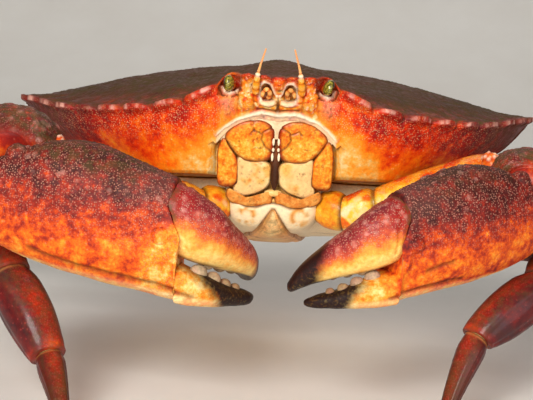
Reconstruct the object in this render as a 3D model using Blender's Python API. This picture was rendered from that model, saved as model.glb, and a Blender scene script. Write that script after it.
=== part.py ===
"""Red rock crab, Cancer productus: a large adult at life size, standing with its claws folded before its mouth.

Sizes are millimetres. Each shape is worked out in one of three frames, and every point ends in the stance.
The stance has +X to the crab's left, -Y ahead of it and +Z up, with the floor at z = 0.
The shell frame is the carapace laid level: x left, y back, z up, from midway between its two side tips.
A claw's frame runs u from wrist to fingers, v up the palm and w out of its outer face.
"""
import math

import bmesh
import bpy
from mathutils import Vector

MM = 0.001
UP = Vector((0.0, 0.0, 1.0))

# Space left between pieces that meet
GAP = 0.3

# Carapace
HALF_WIDTH = 80.0
SHELL_FRONT = 58.2
SHELL_REAR = 42.0
REAR_HALF = 27.0
REAR_CORNER = 40.0
CREST = Vector((0.0, -10.0, 17.0))
PITCH = math.radians(10.0)
TIP_RISE = 72.5
FOOTPRINT_SHIFT = 18.67
FRONT_HALF = 10.5
FRONT_TOOTH_PITCH = 4.2
FRONT_TOOTH_LENGTH = 1.8
ORBIT_END = 17.4
ORBIT_SETBACK = 4.2
SIDE_TEETH = 9
SIDE_TOOTH_LENGTH = 2.4
SIDE_TOOTH_LIFT = 1.2
SIDE_CORNER = (17.4, -57.4)
SIDE_FULLNESS = 1.5
MARGIN_HEIGHTS = ((17.4, 4.0), (23.0, 0.4), (35.0, -2.3), (44.0, -2.8),
                  (54.0, -2.6), (65.0, -1.2), (71.0, 0.6), (80.0, 3.2))
EDGE_THICKNESS = 1.6
UNDER_HEIGHT = -20.0
MOUTH_RECESS = 4.3

# The plane that the outer faces of the mouthparts share, as y at a shell height
MOUTH_PLANE_Y = -53.5
MOUTH_PLANE_Z = -4.0
MOUTH_PLANE_SLOPE = 0.42
PLATE_THICKNESS = 3.2

# Claws, sized as the crab's right one; its left one is smaller
CLAW_SCALE = {"right": 1.0, "left": 0.9}
PALM_SIDES = 16
DACTYL_SIDES = 12
KNOB_UP = Vector((0.3, 0.2, 1.0))
PALM_TOP = ((0.0, 9.5), (5.0, 13.0), (11.0, 15.8), (18.0, 17.6), (26.0, 17.9),
            (34.0, 16.9), (41.0, 15.8), (45.0, 14.4))
PALM_BOTTOM = ((0.0, -12.2), (5.0, -14.4), (11.0, -15.7), (18.0, -16.3), (26.0, -16.8),
               (34.0, -17.1), (50.0, -17.2))
PALM_HALF_THICK = ((0.0, 7.2), (5.0, 8.0), (11.0, 9.0), (18.0, 10.2), (26.0, 10.4),
                   (34.0, 9.8), (41.0, 9.0), (50.0, 7.9))
KNUCKLE_TOP = (45.2, 14.2)
KNUCKLE_BOTTOM = (51.8, -17.2)
FINGER_BEND = {"right": math.radians(42.0), "left": math.radians(32.0)}
TIP_BEND = {"right": math.radians(34.0), "left": math.radians(4.0)}

# Joint points of the limbs in the stance
CLAW_ROOT = {"right": Vector((-14.1, -41.2, 51.6)), "left": Vector((14.1, -41.2, 51.6))}
CLAW_ISCHIUM = {"right": Vector((-20.8, -44.6, 50.8)), "left": Vector((20.8, -44.9, 50.6))}
CLAW_ELBOW = {"right": Vector((-62.5, -55.0, 60.0)), "left": Vector((62.0, -50.8, 61.8))}
CLAW_WRIST = {"right": Vector((-71.5, -84.5, 58.4)), "left": Vector((68.3, -69.0, 56.9))}
PALM_HEADING = {"right": Vector((0.977, -0.123, -0.174)), "left": Vector((-0.860, -0.480, -0.157))}


def curve(rows, x):
    """A smooth curve through the rows (x, value), level with their trend at each row."""
    if x <= rows[0][0]:
        return rows[0][1]
    if x >= rows[-1][0]:
        return rows[-1][1]
    last = len(rows) - 1
    i = max(k for k in range(last) if rows[k][0] <= x)

    def slope(k):
        low, high = max(k - 1, 0), min(k + 1, last)
        return (rows[high][1] - rows[low][1]) / (rows[high][0] - rows[low][0])

    step = rows[i + 1][0] - rows[i][0]
    t = (x - rows[i][0]) / step
    start = rows[i][1] * (2 * t**3 - 3 * t**2 + 1) + slope(i) * step * (t**3 - 2 * t**2 + t)
    end = rows[i + 1][1] * (3 * t**2 - 2 * t**3) + slope(i + 1) * step * (t**3 - t**2)
    return start + end


def ease(low, high, x):
    """0 below low, 1 above high, and a smooth step between."""
    t = min(max((x - low) / (high - low), 0.0), 1.0)
    return t * t * (3 - 2 * t)


def stand(point):
    """A point of the shell frame, placed in the stance."""
    x, y, z = point
    back = y * math.cos(PITCH) + z * math.sin(PITCH)
    rise = z * math.cos(PITCH) - y * math.sin(PITCH)
    return Vector((x, back, rise + TIP_RISE))


def material(name, colour, roughness):
    finish = bpy.data.materials.new(name)
    finish.use_nodes = True
    shader = finish.node_tree.nodes["Principled BSDF"]
    shader.inputs["Base Color"].default_value = (*colour, 1.0)
    shader.inputs["Roughness"].default_value = roughness
    return finish


def make_node(name, points, faces, finish):
    """A named object from points of the stance, closed and with its faces out."""
    mesh = bpy.data.meshes.new(name)
    mesh.from_pydata([(x * MM, (y + FOOTPRINT_SHIFT) * MM, z * MM) for x, y, z in points], [], faces)
    part = bpy.data.objects.new(name, mesh)
    bpy.context.collection.objects.link(part)
    shape = bmesh.new()
    shape.from_mesh(mesh)
    bmesh.ops.triangulate(shape, faces=shape.faces[:])
    bmesh.ops.recalc_face_normals(shape, faces=shape.faces[:])
    shape.to_mesh(mesh)
    shape.free()
    mesh.materials.append(finish)
    mesh.shade_smooth()
    mesh.set_sharp_from_angle(angle=math.radians(40.0))
    return part


def skin(rings, tip=None):
    """Points and faces of a closed skin over rings of equal count, its ends flat or drawn to a tip."""
    count = len(rings[0])
    points = [p for ring in rings for p in ring]
    faces = []
    for row in range(len(rings) - 1):
        for k in range(count):
            here, after = row * count + k, row * count + (k + 1) % count
            faces.append((here, after, after + count, here + count))
    if tip is None:
        faces.append(tuple(reversed(range(count))))
    else:
        points.append(tip)
        faces.extend((len(points) - 1, (k + 1) % count, k) for k in range(count))
    faces.append(tuple((len(rings) - 1) * count + k for k in range(count)))
    return points, faces


def ring(centre, normal, up, half_width, half_height, sides, squareness=2.3):
    """A rounded outline across the normal: a superellipse with its height along up."""
    normal = normal.normalized()
    high = (up - normal * up.dot(normal)).normalized()
    side = normal.cross(high)
    outline = []
    for k in range(sides):
        angle = 2 * math.pi * (k + 0.5) / sides
        c, s = math.cos(angle), math.sin(angle)
        across = math.copysign(abs(c) ** (2 / squareness), c) * half_width
        rise = math.copysign(abs(s) ** (2 / squareness), s) * half_height
        outline.append(centre + side * across + high * rise)
    return outline


def segment(start, end, start_normal, end_normal, up, profile, sides, bow=Vector(), squareness=2.3):
    """Rings of a limb segment, whose end rings lie in the planes of its two joints."""
    along = (end - start).normalized()
    rings = []
    for t, half_width, half_height in profile:
        normal = start_normal.lerp(along, ease(0.0, 0.3, t)).lerp(end_normal, ease(0.7, 1.0, t))
        centre = start.lerp(end, t) + bow * (4 * t * (1 - t))
        rings.append(ring(centre, normal, up, half_width, half_height, sides, squareness))
    return rings


def join(target, pieces):
    """Joins the closed pieces to the target with one union, and removes them."""
    group = bpy.data.collections.new(target.name + "_joined")
    bpy.context.scene.collection.children.link(group)
    for piece in pieces:
        bpy.context.collection.objects.unlink(piece)
        group.objects.link(piece)
    modifier = target.modifiers.new("join", "BOOLEAN")
    modifier.operation = "UNION"
    modifier.operand_type = "COLLECTION"
    modifier.collection = group
    modifier.solver = "EXACT"
    apply_modifiers(target)
    for piece in pieces:
        bpy.data.objects.remove(piece)
    bpy.data.collections.remove(group)


def cut(target, cutter):
    """Cuts the cutter's space out of the target, and removes the cutter."""
    modifier = target.modifiers.new("cut", "BOOLEAN")
    modifier.operation = "DIFFERENCE"
    modifier.object = cutter
    modifier.solver = "EXACT"
    apply_modifiers(target)
    bpy.data.objects.remove(cutter)


def apply_modifiers(part):
    """Keeps the part's evaluated mesh as its own, without its modifiers."""
    bpy.context.view_layer.update()
    evaluated = part.evaluated_get(bpy.context.evaluated_depsgraph_get())
    mesh = bpy.data.meshes.new_from_object(evaluated)
    part.modifiers.clear()
    part.data = mesh


def along_curve(points, fraction):
    """The point at a fraction of the length of a run of points."""
    lengths = [0.0]
    for a, b in zip(points, points[1:]):
        lengths.append(lengths[-1] + math.dist(a, b))
    wanted = fraction * lengths[-1]
    i = max(k for k in range(len(points) - 1) if lengths[k] <= wanted)
    t = (wanted - lengths[i]) / (lengths[i + 1] - lengths[i])
    return tuple(a + (b - a) * t for a, b in zip(points[i], points[i + 1]))


def side_arc():
    """The side of the carapace from the eye to the tip, a full curve between the two."""
    steps = 120
    power = 2 / SIDE_FULLNESS
    width, depth = HALF_WIDTH - SIDE_CORNER[0], -SIDE_CORNER[1]
    arc = []
    for k in range(steps + 1):
        angle = math.pi / 2 * k / steps
        across, ahead = math.sin(angle) ** power, max(math.cos(angle), 0.0) ** power
        arc.append((SIDE_CORNER[0] + width * across, -depth * ahead))
    return arc


SIDE_ARC = side_arc()


def bezier(a, b, c, t):
    """A point of the curve from a to c that b draws out."""
    return tuple(p * (1 - t) ** 2 + q * 2 * t * (1 - t) + r * t * t for p, q, r in zip(a, b, c))


def margin(stretch, f):
    """A point of the carapace edge: its smooth place, and how far its tooth stands out there."""
    if stretch == "front":
        x = FRONT_HALF * f
        tooth = abs(math.cos(math.pi * x / FRONT_TOOTH_PITCH)) ** 0.7
        return Vector((x, -SHELL_FRONT, 6.3 + 0.07 * x)), tooth
    if stretch == "orbit":
        x = FRONT_HALF + (ORBIT_END - FRONT_HALF) * f
        y = -SHELL_FRONT + (SIDE_CORNER[1] + SHELL_FRONT) * f
        return Vector((x, y, 7.0 + 1.4 * math.sin(math.pi * f) - 3.0 * f**3)), 0.0
    if stretch == "side":
        x, y = along_curve(SIDE_ARC, f)
        tooth = abs(math.sin(math.pi * SIDE_TEETH * f)) ** 0.6
        return Vector((x, y, curve(MARGIN_HEIGHTS, x))), tooth
    if stretch == "back_side":
        x, y = bezier((HALF_WIDTH, 0.0), (62.0, 26.0), (REAR_HALF, REAR_CORNER), f)
        return Vector((x, y, 3.2 - 8.2 * ease(-0.3, 1.1, f))), 0.0
    y = REAR_CORNER + (SHELL_REAR - REAR_CORNER) * math.sin(math.pi / 2 * f)
    return Vector((REAR_HALF * (1 - f), y, -5.0 - 0.5 * f)), 0.0


def toothed(stretch, f):
    """The carapace edge with its teeth, and its set-back above the eye."""
    place, lobe = margin(stretch, f)
    if stretch == "front":
        return place + Vector((0, -FRONT_TOOTH_LENGTH * lobe, 0.3 * lobe))
    if stretch == "orbit":
        return place + Vector((0, ORBIT_SETBACK * math.sin(math.pi * f) ** 0.7, 0))
    if stretch == "side":
        outward = Vector((place.x - CREST.x, place.y - CREST.y, 0)).normalized()
        place = place + outward * SIDE_TOOTH_LENGTH * (lobe - 0.4)
        place.z += SIDE_TOOTH_LIFT * lobe
    return place


BROAD_HEIGHTS = ((0.0, 5.6), (12.0, 4.6), (24.0, 1.6), (38.0, -1.4), (54.0, -2.2), (66.0, -0.8), (80.0, 3.2))
REGIONS = ((9, -38, 8, 1.3), (0, -27, 7, 1.2), (0, 8, 10, 1.6), (44, -24, 12, 1.2),
           (37, 6, 13, 1.5), (31, -43, 8, 0.9), (24, 23, 10, 1.0))


def swellings(x, y):
    """The low domes of the carapace regions, alike on both sides."""
    return sum(h * math.exp(-((abs(x) - cx) ** 2 + (y - cy) ** 2) / r**2) for cx, cy, r, h in REGIONS)


def dorsal(stretch, f, s):
    """A point of the carapace top, from the crest at s = 0 to the edge at s = 1."""
    place = margin(stretch, f)[0].lerp(toothed(stretch, f), ease(0.86, 1.0, s))
    x, y = CREST.x + (place.x - CREST.x) * s, CREST.y + (place.y - CREST.y) * s
    broad = curve(BROAD_HEIGHTS, place.x) if stretch in ("front", "orbit", "side") else place.z
    z = CREST.z + (broad - CREST.z) * s**1.6 + (place.z - broad) * ease(0.8, 1.0, s)
    return Vector((x, y, z + swellings(x, y) * (1 - ease(0.75, 1.0, s))))


def mouth_surface(z, behind=0.0):
    """The y of the mouthparts' outer plane at a shell height, or a distance behind it."""
    return MOUTH_PLANE_Y + MOUTH_PLANE_SLOPE * (MOUTH_PLANE_Z - z) + behind


RIM_HEIGHTS = ((0.0, -2.9), (3.0, -2.4), (7.0, -2.0), (11.0, -2.9), (14.0, -5.0), (17.0, -9.0))
FACE_Y = -56.2
FOSSA_X = 3.2


def front_face(stretch, f):
    """The face above and behind the mouth, down one upright line: hollow or eye socket, rim, recess."""
    edge = toothed(stretch, f)
    x = edge.x
    rim = curve(RIM_HEIGHTS, x)
    hollow = math.exp(-((x - FOSSA_X) / 2.2) ** 2)
    socket = math.sin(math.pi * f) ** 0.5 if stretch == "orbit" else 0.0
    outer = ease(8.0, 12.5, x)
    below_eye = 1.6 - 0.33 * (x - FRONT_HALF)
    line = [
        (edge.y + 1.6, edge.z - 1.9 + outer),
        (FACE_Y + 2.4 * hollow + 4.4 * socket, 2.8 + 1.8 * outer),
        (FACE_Y + 1.6 * hollow + 4.2 * socket, 0.8 + 1.8 * outer),
        (FACE_Y - 0.8 * (1 - outer), -0.6 * (1 - outer) + below_eye * outer),
        (mouth_surface(rim), rim),
        (mouth_surface(rim, 1.2), rim - 0.8),
        (mouth_surface(rim, MOUTH_RECESS), rim - 1.0),
        (mouth_surface(UNDER_HEIGHT, MOUTH_RECESS), UNDER_HEIGHT),
    ]
    return [Vector((x, y, z)) for y, z in line]


def under_rim(stretch, f):
    """The lower rim of the carapace, where it meets the bases of the legs."""
    if stretch == "side":
        x, y = bezier((19.0, -46.5), (45.0, -46.0), (44.5, 0.0), f)
    elif stretch == "back_side":
        x, y = bezier((44.5, 0.0), (43.0, 26.0), (24.0, 34.0), f)
    else:
        x, y = 24.0 * (1 - f), 34.0 + 2.0 * math.sin(math.pi / 2 * f)
    return Vector((x, y, UNDER_HEIGHT))


# Fractions of the way from the edge down to the rim, far from the eye and just beside it
FACE_STEPS = (0.0, 0.22, 0.36, 0.5, 0.64, 0.78, 0.9, 1.0)
CHEEK_STEPS = (0.0, 0.05, 0.1, 0.16, 0.53, 0.58, 0.64, 1.0)


def side_face(stretch, f):
    """The under side of the carapace from its edge in to the rim."""
    smooth_place, _ = margin(stretch, f)
    rim = under_rim(stretch, f)
    start = Vector((smooth_place.x * 0.985, smooth_place.y * 0.985, smooth_place.z - EDGE_THICKNESS))
    cheek = 1 - ease(0.0, 0.12, f) if stretch == "side" else 0.0
    tuck = {"side": 0.0, "back_side": ease(0.6, 1.0, f), "rear": 1.0}[stretch]
    draw = start.lerp(rim, 0.25 + 0.25 * cheek + 0.7 * tuck)
    draw.z = -11.0 + 2.2 * cheek + 3.0 * tuck
    steps = [far + (near - far) * cheek for far, near in zip(FACE_STEPS, CHEEK_STEPS)]
    return [Vector(bezier(start, draw, rim, t)) for t in steps]


def half_columns():
    """The places round one half of the edge where the skin has points."""
    columns = [("front", k / 5) for k in range(6)]
    columns += [("orbit", k / 5) for k in range(1, 5)]
    columns += [("side", k / (3 * SIDE_TEETH)) for k in range(3 * SIDE_TEETH)]
    columns += [("back_side", k / 9) for k in range(9)]
    columns += [("rear", k / 4) for k in range(5)]
    return columns


def mirrored_ring(half):
    """A whole ring from the points of its left half, front to rear."""
    return half + [Vector((-p.x, p.y, p.z)) for p in reversed(half[1:-1])]


DORSAL_STEPS = (0.12, 0.28, 0.45, 0.62, 0.78, 0.88, 0.95, 1.0)


def build_carapace():
    """The shell: its toothed top, its face and sides, and its level under side."""
    columns = half_columns()
    halves = [[dorsal(stretch, f, s) for stretch, f in columns] for s in DORSAL_STEPS]
    lines = [front_face(*c) if c[0] in ("front", "orbit") else side_face(*c) for c in columns]
    halves += [[line[row] for line in lines] for row in range(len(FACE_STEPS))]
    rings = [[stand(p) for p in mirrored_ring(half)] for half in halves]
    top = stand(CREST + Vector((0, 0, swellings(CREST.x, CREST.y))))
    points, faces = skin(rings, top)
    return make_node("carapace", points, faces, material("shell_dark_red", (0.16, 0.03, 0.018), 0.5))


THORAX_HALF = ((0, -43.4), (6, -43.2), (11, -42.2), (13.2, -38.5), (14.2, -33.5), (18, -29.5), (26, -26.5),
               (33, -23.5), (37, -14), (38.5, 0), (37, 12), (31, 22), (22, 29), (10, 32.5), (0, 33.5))
# Height, size, and the foremost y, which is unheld below the mouthparts
THORAX_LEVELS = ((-20.3, 0.97, -42.0), (-25.4, 0.98, -40.9), (-26.4, 1.0, -60.0), (-30.0, 0.97, -60.0),
                 (-33.0, 0.87, -60.0), (-35.2, 0.68, -60.0), (-36.0, 0.32, -60.0))
THORAX_CENTRE_Y = -4.0


def thorax_rings():
    """Rings of the breast from its level top down, held behind the mouthparts above their lower edge."""
    rings = []
    for z, scale, foremost in THORAX_LEVELS:
        half = []
        for x, y in THORAX_HALF:
            drop = scale if y > -30 else 1 - (1 - scale) * 0.5
            half.append(Vector((x * scale, max(THORAX_CENTRE_Y + (y - THORAX_CENTRE_Y) * drop, foremost), z)))
        rings.append([stand(p) for p in mirrored_ring(half)])
    return rings


LEG_SIDES = 10
LEG_REACH = {
    "right_1": [(-41.0, -23.0, 46.5), (-86.0, -55.0, 42.0), (-70.5, -75.0, 33.5),
                (-57.5, -88.0, 15.5), (-50.0, -106.0, 0.0)],
    "left_1": [(41.0, -23.0, 46.5), (88.0, -46.0, 44.0), (75.5, -64.0, 35.5),
               (57.0, -74.0, 22.0), (47.0, -86.0, 0.0)],
    "right_2": [(-42.0, -9.5, 44.5), (-93.0, -25.0, 57.0), (-113.0, -34.0, 48.0),
                (-124.5, -43.0, 25.0), (-132.0, -51.0, 0.0)],
    "left_2": [(42.0, -9.5, 44.5), (93.0, -22.0, 58.0), (114.0, -30.0, 49.0),
               (126.0, -37.0, 25.0), (133.5, -44.0, 0.0)],
    "right_3": [(-41.5, 3.5, 42.5), (-94.0, 14.0, 58.0), (-116.0, 20.0, 50.0),
                (-129.0, 24.0, 26.0), (-137.0, 28.0, 0.0)],
    "left_3": [(41.5, 3.5, 42.5), (94.0, 12.0, 57.0), (116.0, 17.0, 49.0),
               (129.0, 20.0, 25.0), (137.0, 23.0, 0.0)],
    "right_4": [(-37.0, 15.5, 41.5), (-77.0, 40.0, 55.0), (-93.0, 51.0, 47.0),
                (-104.0, 61.0, 25.0), (-111.0, 69.0, 0.0)],
    "left_4": [(37.0, 15.5, 41.5), (78.0, 38.0, 54.0), (94.0, 50.0, 46.0),
               (106.0, 60.0, 24.0), (113.0, 67.0, 0.0)],
}
# Fraction along a segment, half width and half height there
LEG_PROFILES = {
    "base": ((0.0, 5.0, 6.0), (0.6, 5.6, 6.6), (1.0, 4.6, 5.4)),
    "merus": ((0.0, 4.0, 4.6), (0.1, 4.7, 5.6), (0.22, 4.1, 5.1), (0.34, 4.9, 6.5),
              (0.65, 5.2, 7.1), (0.9, 4.9, 6.3), (1.0, 4.2, 5.4)),
    "carpus": ((0.0, 3.2, 4.2), (0.25, 4.5, 5.6), (0.75, 5.1, 6.3), (1.0, 4.4, 5.3)),
    "propodus": ((0.0, 3.4, 4.4), (0.22, 4.1, 5.6), (0.6, 3.9, 5.8), (0.88, 3.3, 4.7), (1.0, 2.9, 3.8)),
    "dactyl": ((0.0, 2.3, 2.9), (0.2, 2.5, 3.1), (0.55, 1.9, 2.4), (0.85, 1.3, 1.5), (1.0, 1.1, 1.2)),
}
LEG_PARTS = ("merus", "carpus", "propodus", "dactyl")
LEG_BOW = {"merus": 1.2, "carpus": 0.8, "propodus": 0.4, "dactyl": 1.6}
LEG_STOUTNESS = {"1": 1.1, "2": 1.0, "3": 0.97, "4": 0.88}
# How much thicker the outer segments of the first pair are, from their front to their back
FIRST_LEG_THICKNESS = {"base": 1.0, "merus": 1.0, "carpus": 1.25, "propodus": 1.5, "dactyl": 1.35}


def joint_normals(joints):
    """The normal of each joint's plane, halfway between the segments that meet there; the foot's is upright."""
    ways = [(b - a).normalized() for a, b in zip(joints, joints[1:])]
    between = [(a + b).normalized() for a, b in zip(ways, ways[1:])]
    return [ways[0]] + between + [Vector((0, 0, -1))]


def stout_profile(name, part):
    """A leg segment's profile at the size of the named leg."""
    stout = LEG_STOUTNESS[name[-1]]
    thick = stout * (FIRST_LEG_THICKNESS[part] if name[-1] == "1" else 1.0)
    return [(t, half_width * thick, half_height * stout) for t, half_width, half_height in LEG_PROFILES[part]]


def build_leg(name, finishes):
    """One walking leg, from its arm out to the flat its tip stands on."""
    joints = [Vector(p) for p in LEG_REACH[name]]
    normals = joint_normals(joints)
    for i, part in enumerate(LEG_PARTS):
        end_gap = 0.0 if part == "dactyl" else GAP / 2
        start, end = joints[i] + normals[i] * (GAP / 2), joints[i + 1] - normals[i + 1] * end_gap
        bow = UP * LEG_BOW[part]
        profile = stout_profile(name, part)
        high = Vector((end.x - start.x, end.y - start.y, 0.0)) if part == "dactyl" else UP
        rings = segment(start, end, normals[i], normals[i + 1], high, profile, LEG_SIDES, bow)
        make_node(f"leg_{name}_{part}", *skin(rings), finishes[part])


def build_thorax():
    """The breast with the bases of the eight walking legs, grooved for the tail."""
    finish = material("breast_cream", (0.62, 0.42, 0.2), 0.5)
    thorax = make_node("thorax", *skin(thorax_rings()), finish)
    bases = []
    for name, reach in LEG_REACH.items():
        outer, knee = Vector(reach[0]), Vector(reach[1])
        along = (knee - outer).normalized()
        inner = Vector((outer.x * 0.62, outer.y + (6.0 if name[-1] == "1" else 0.0), outer.z - 1.0))
        profile = stout_profile(name, "base")
        rings = segment(inner, outer - along * (GAP / 2), along, along, UP, profile, LEG_SIDES)
        bases.append(make_node("base_" + name, *skin(rings), finish))
    join(thorax, bases)
    cut(thorax, make_node("tail_space", *skin(tail_rings(GAP)), finish))


# y, z and half width in the shell frame, from under the rear of the shell to the tail's tip
TAIL_PATH = ((41.0, -8.5, 15.5), (41.6, -14.0, 17.5), (39.8, -21.0, 17.0), (35.6, -28.0, 15.0),
             (29.0, -32.6, 13.0), (18.0, -35.8, 11.3), (5.0, -36.8, 10.0), (-9.0, -36.9, 8.8),
             (-21.0, -36.2, 7.4), (-30.0, -34.9, 5.9), (-36.0, -33.0, 4.0), (-41.0, -29.6, 0.9))
TAIL_HALF_THICK = 1.5
TAIL_SIDES = 12


def run_direction(spine, i):
    """The direction of a run of points at one of them."""
    return (spine[min(i + 1, len(spine) - 1)] - spine[max(i - 1, 0)]).normalized()


def tail_rings(clear=0.0):
    """Rings of the abdomen folded under the breast, or with a clearance, of the space it lies in."""
    spine = [Vector((0, y, z)) for y, z, _ in TAIL_PATH]
    end_rings = {0: -1, len(spine) - 1: 1}
    rings = []
    for i, (_, _, half_width) in enumerate(TAIL_PATH):
        along = run_direction(spine, i)
        centre = spine[i] + along * (2 * clear * end_rings.get(i, 0))
        half_thick = TAIL_HALF_THICK * (0.75 if i in end_rings else 1.0)
        across = along.cross(Vector((1, 0, 0)))
        outline = ring(centre, along, across, half_width + clear, half_thick + clear, TAIL_SIDES, 3.2)
        rings.append([stand(p) for p in outline])
    return rings


# Outlines of the mouthparts on the crab's left, as x and z in the shell frame
MERUS_PLATE = ((1.0, -7.4), (2.4, -5.7), (5.0, -4.9), (9.0, -5.3), (12.2, -6.8), (14.3, -9.3), (13.3, -11.3),
               (12.1, -12.9), (10.5, -14.5), (8.6, -15.5), (6.0, -15.8), (3.2, -15.6), (1.4, -14.2),
               (0.9, -10.5))
ISCHIUM_PLATE = ((1.5, -17.0), (3.2, -16.1), (6.0, -16.3), (8.7, -16.0), (10.5, -15.2), (10.5, -18.5),
                 (10.5, -22.0), (11.4, -23.4), (11.2, -24.8), (9.4, -25.6), (6.2, -25.0), (3.6, -23.9),
                 (1.7, -22.0), (1.4, -19.4))
EXOPOD_PLATE = ((14.9, -10.2), (16.0, -12.5), (16.2, -17.0), (15.8, -22.3), (13.4, -22.9), (11.2, -22.2),
                (11.0, -18.5), (11.2, -15.6), (12.7, -13.4), (13.9, -11.7))


def mouth_plate(name, outline, side, swell, finish):
    """A plate over the mouth: its outline in the mouthparts' plane, domed in front and flat behind."""
    middle_x = sum(x for x, _ in outline) / len(outline)
    middle_z = sum(z for _, z in outline) / len(outline)

    def layer(scale, behind):
        points = []
        for x, z in outline:
            wide, high = middle_x + (x - middle_x) * scale, middle_z + (z - middle_z) * scale
            points.append(stand((wide * side, mouth_surface(high, behind), high)))
        return points

    depths = ((0.97, PLATE_THICKNESS), (1.0, PLATE_THICKNESS * 0.6), (1.0, 0.6), (0.9, 0.0), (0.6, -swell))
    make_node(name, *skin([layer(scale, behind) for scale, behind in depths]), finish)


def build_mouthparts():
    """The outer mouthparts: two plates each side that close the mouth, and a narrow one beside them."""
    orange = material("mouthpart_orange", (0.75, 0.27, 0.06), 0.45)
    cream = material("mouthpart_cream", (0.78, 0.5, 0.22), 0.45)
    for side, label in ((1, "left"), (-1, "right")):
        mouth_plate(f"maxilliped_{label}_merus", MERUS_PLATE, side, 0.9, orange)
        mouth_plate(f"maxilliped_{label}_ischium", ISCHIUM_PLATE, side, 0.5, cream)
        mouth_plate(f"maxilliped_{label}_exopod", EXOPOD_PLATE, side, 0.4, orange)


def threaded(name, path, sides, finish):
    """A closed tube along a path of rows: x, y and z in the shell frame, half width, half height."""
    spine = [stand(row[:3]) for row in path]
    up = Vector((0.2, 0.5, 1.0))
    rings = [ring(spine[i], run_direction(spine, i), up, *row[3:], sides, 2.0) for i, row in enumerate(path)]
    make_node(name, *skin(rings), finish)


EYE_PATH = ((13.1, -52.9, 4.9, 1.2, 1.2), (13.3, -53.9, 4.9, 1.4, 1.6), (13.7, -55.2, 4.9, 1.7, 2.1),
            (14.2, -56.4, 4.9, 1.6, 2.0), (14.6, -57.2, 4.9, 1.1, 1.4), (14.8, -57.6, 4.9, 0.5, 0.6))
ANTENNA_PATH = ((6.3, -57.5, 2.6, 1.0, 1.0), (6.3, -59.0, 3.6, 1.3, 1.3), (6.1, -60.6, 5.2, 1.15, 1.15),
                (6.0, -61.2, 6.8, 0.95, 0.95), (5.8, -61.4, 8.0, 0.5, 0.5), (5.3, -61.5, 10.0, 0.42, 0.42),
                (4.6, -61.2, 12.4, 0.36, 0.36), (4.0, -60.7, 14.6, 0.3, 0.3))
ANTENNULE_PATH = ((2.9, -55.4, 1.5, 0.7, 0.7), (2.5, -57.2, 1.9, 0.8, 0.8), (2.6, -58.3, 2.8, 0.75, 0.75),
                  (3.5, -58.8, 3.2, 0.7, 0.7), (4.3, -58.4, 2.4, 0.6, 0.6), (4.6, -57.9, 1.4, 0.45, 0.45))


def build_feelers_and_eyes():
    """The stalked eyes in their sockets, and the two pairs of feelers between them."""
    eye = material("eye_olive", (0.05, 0.06, 0.02), 0.15)
    feeler = material("feeler_orange", (0.6, 0.22, 0.06), 0.45)
    kinds = (("eye", EYE_PATH, 10, eye), ("antenna", ANTENNA_PATH, 6, feeler),
             ("antennule", ANTENNULE_PATH, 6, feeler))
    for side, label in ((1, "left"), (-1, "right")):
        for name, path, sides, finish in kinds:
            threaded(f"{name}_{label}", [(row[0] * side, *row[1:]) for row in path], sides, finish)


class ClawFrame:
    """Places points given along a claw, up its palm and out of its outer face."""

    def __init__(self, label):
        self.origin = CLAW_WRIST[label]
        self.scale = CLAW_SCALE[label]
        self.u = PALM_HEADING[label].normalized()
        self.v = (UP - self.u * self.u.z).normalized()
        outward = self.u.cross(self.v)
        self.w = outward if outward.y < 0 else -outward

    def place(self, u, v, w):
        return self.origin + (self.u * u + self.v * v + self.w * w) * self.scale

    def turned(self, heading):
        """The direction of the fingers where they have bent inwards by the heading."""
        return self.u * math.cos(heading) - self.w * math.sin(heading)


def claw_ring(frame, u, w, heading, top, bottom, half_thick, sides, lean=0.0, squareness=2.4):
    """A ring of the claw from its bottom to its top height; lean sets its foot ahead of its head."""
    centre = frame.place(u, (top + bottom) / 2, w)
    normal = frame.turned(heading)
    up = (frame.v - normal * lean).normalized()
    half_height = (top - bottom) / 2 * math.sqrt(1 + lean * lean)
    across = normal + frame.v * lean
    return ring(centre, across, up, half_thick * frame.scale, half_height * frame.scale, sides, squareness)


KNUCKLE_LEAN = (KNUCKLE_BOTTOM[0] - KNUCKLE_TOP[0]) / (KNUCKLE_TOP[1] - KNUCKLE_BOTTOM[1])

# Rows of the two fingers: distance from the knuckle, top, bottom, half thickness
FINGER_ROWS = ((0.0, -8.0, -17.1, 7.0), (3.0, -8.4, -17.2, 6.5), (7.0, -9.2, -17.3, 5.6),
               (11.5, -10.8, -17.1, 4.6), (16.0, -11.9, -17.0, 3.8), (20.5, -12.8, -16.8, 3.0),
               (23.6, -13.7, -16.3, 1.9), (24.8, -14.5, -15.7, 0.9))
DACTYL_ROWS = ((0.0, 13.2, -5.4, 7.2), (3.5, 12.2, -6.0, 7.2), (8.5, 9.4, -6.9, 6.6), (13.5, 5.7, -7.7, 5.8),
               (18.5, 2.6, -8.6, 5.0), (23.5, -0.9, -9.7, 4.2), (28.0, -4.6, -11.2, 3.3),
               (31.0, -7.9, -12.4, 2.2), (32.3, -9.6, -12.1, 1.1))
FINGER_BASE_MIDDLE = (FINGER_ROWS[0][1] + FINGER_ROWS[0][2]) / 2
FINGER_ROOT = KNUCKLE_TOP[0] + (KNUCKLE_TOP[1] - FINGER_BASE_MIDDLE) * KNUCKLE_LEAN + 0.15
DACTYL_ROOT = 47.6

# Blunt teeth: distance from the knuckle and radius
FINGER_TEETH = ((4.5, 2.1), (9.0, 1.85), (13.2, 1.55), (17.0, 1.25))
DACTYL_TEETH = ((10.1, 2.1), (14.6, 1.85), (18.8, 1.55), (22.6, 1.25))
# Knobs of the wrist and of the finger's hinge: u, v, w and radius
PALM_KNOBS = ((3.5, 10.5, 3.0, 3.2), (44.9, 0.0, 7.0, 2.8))


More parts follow.
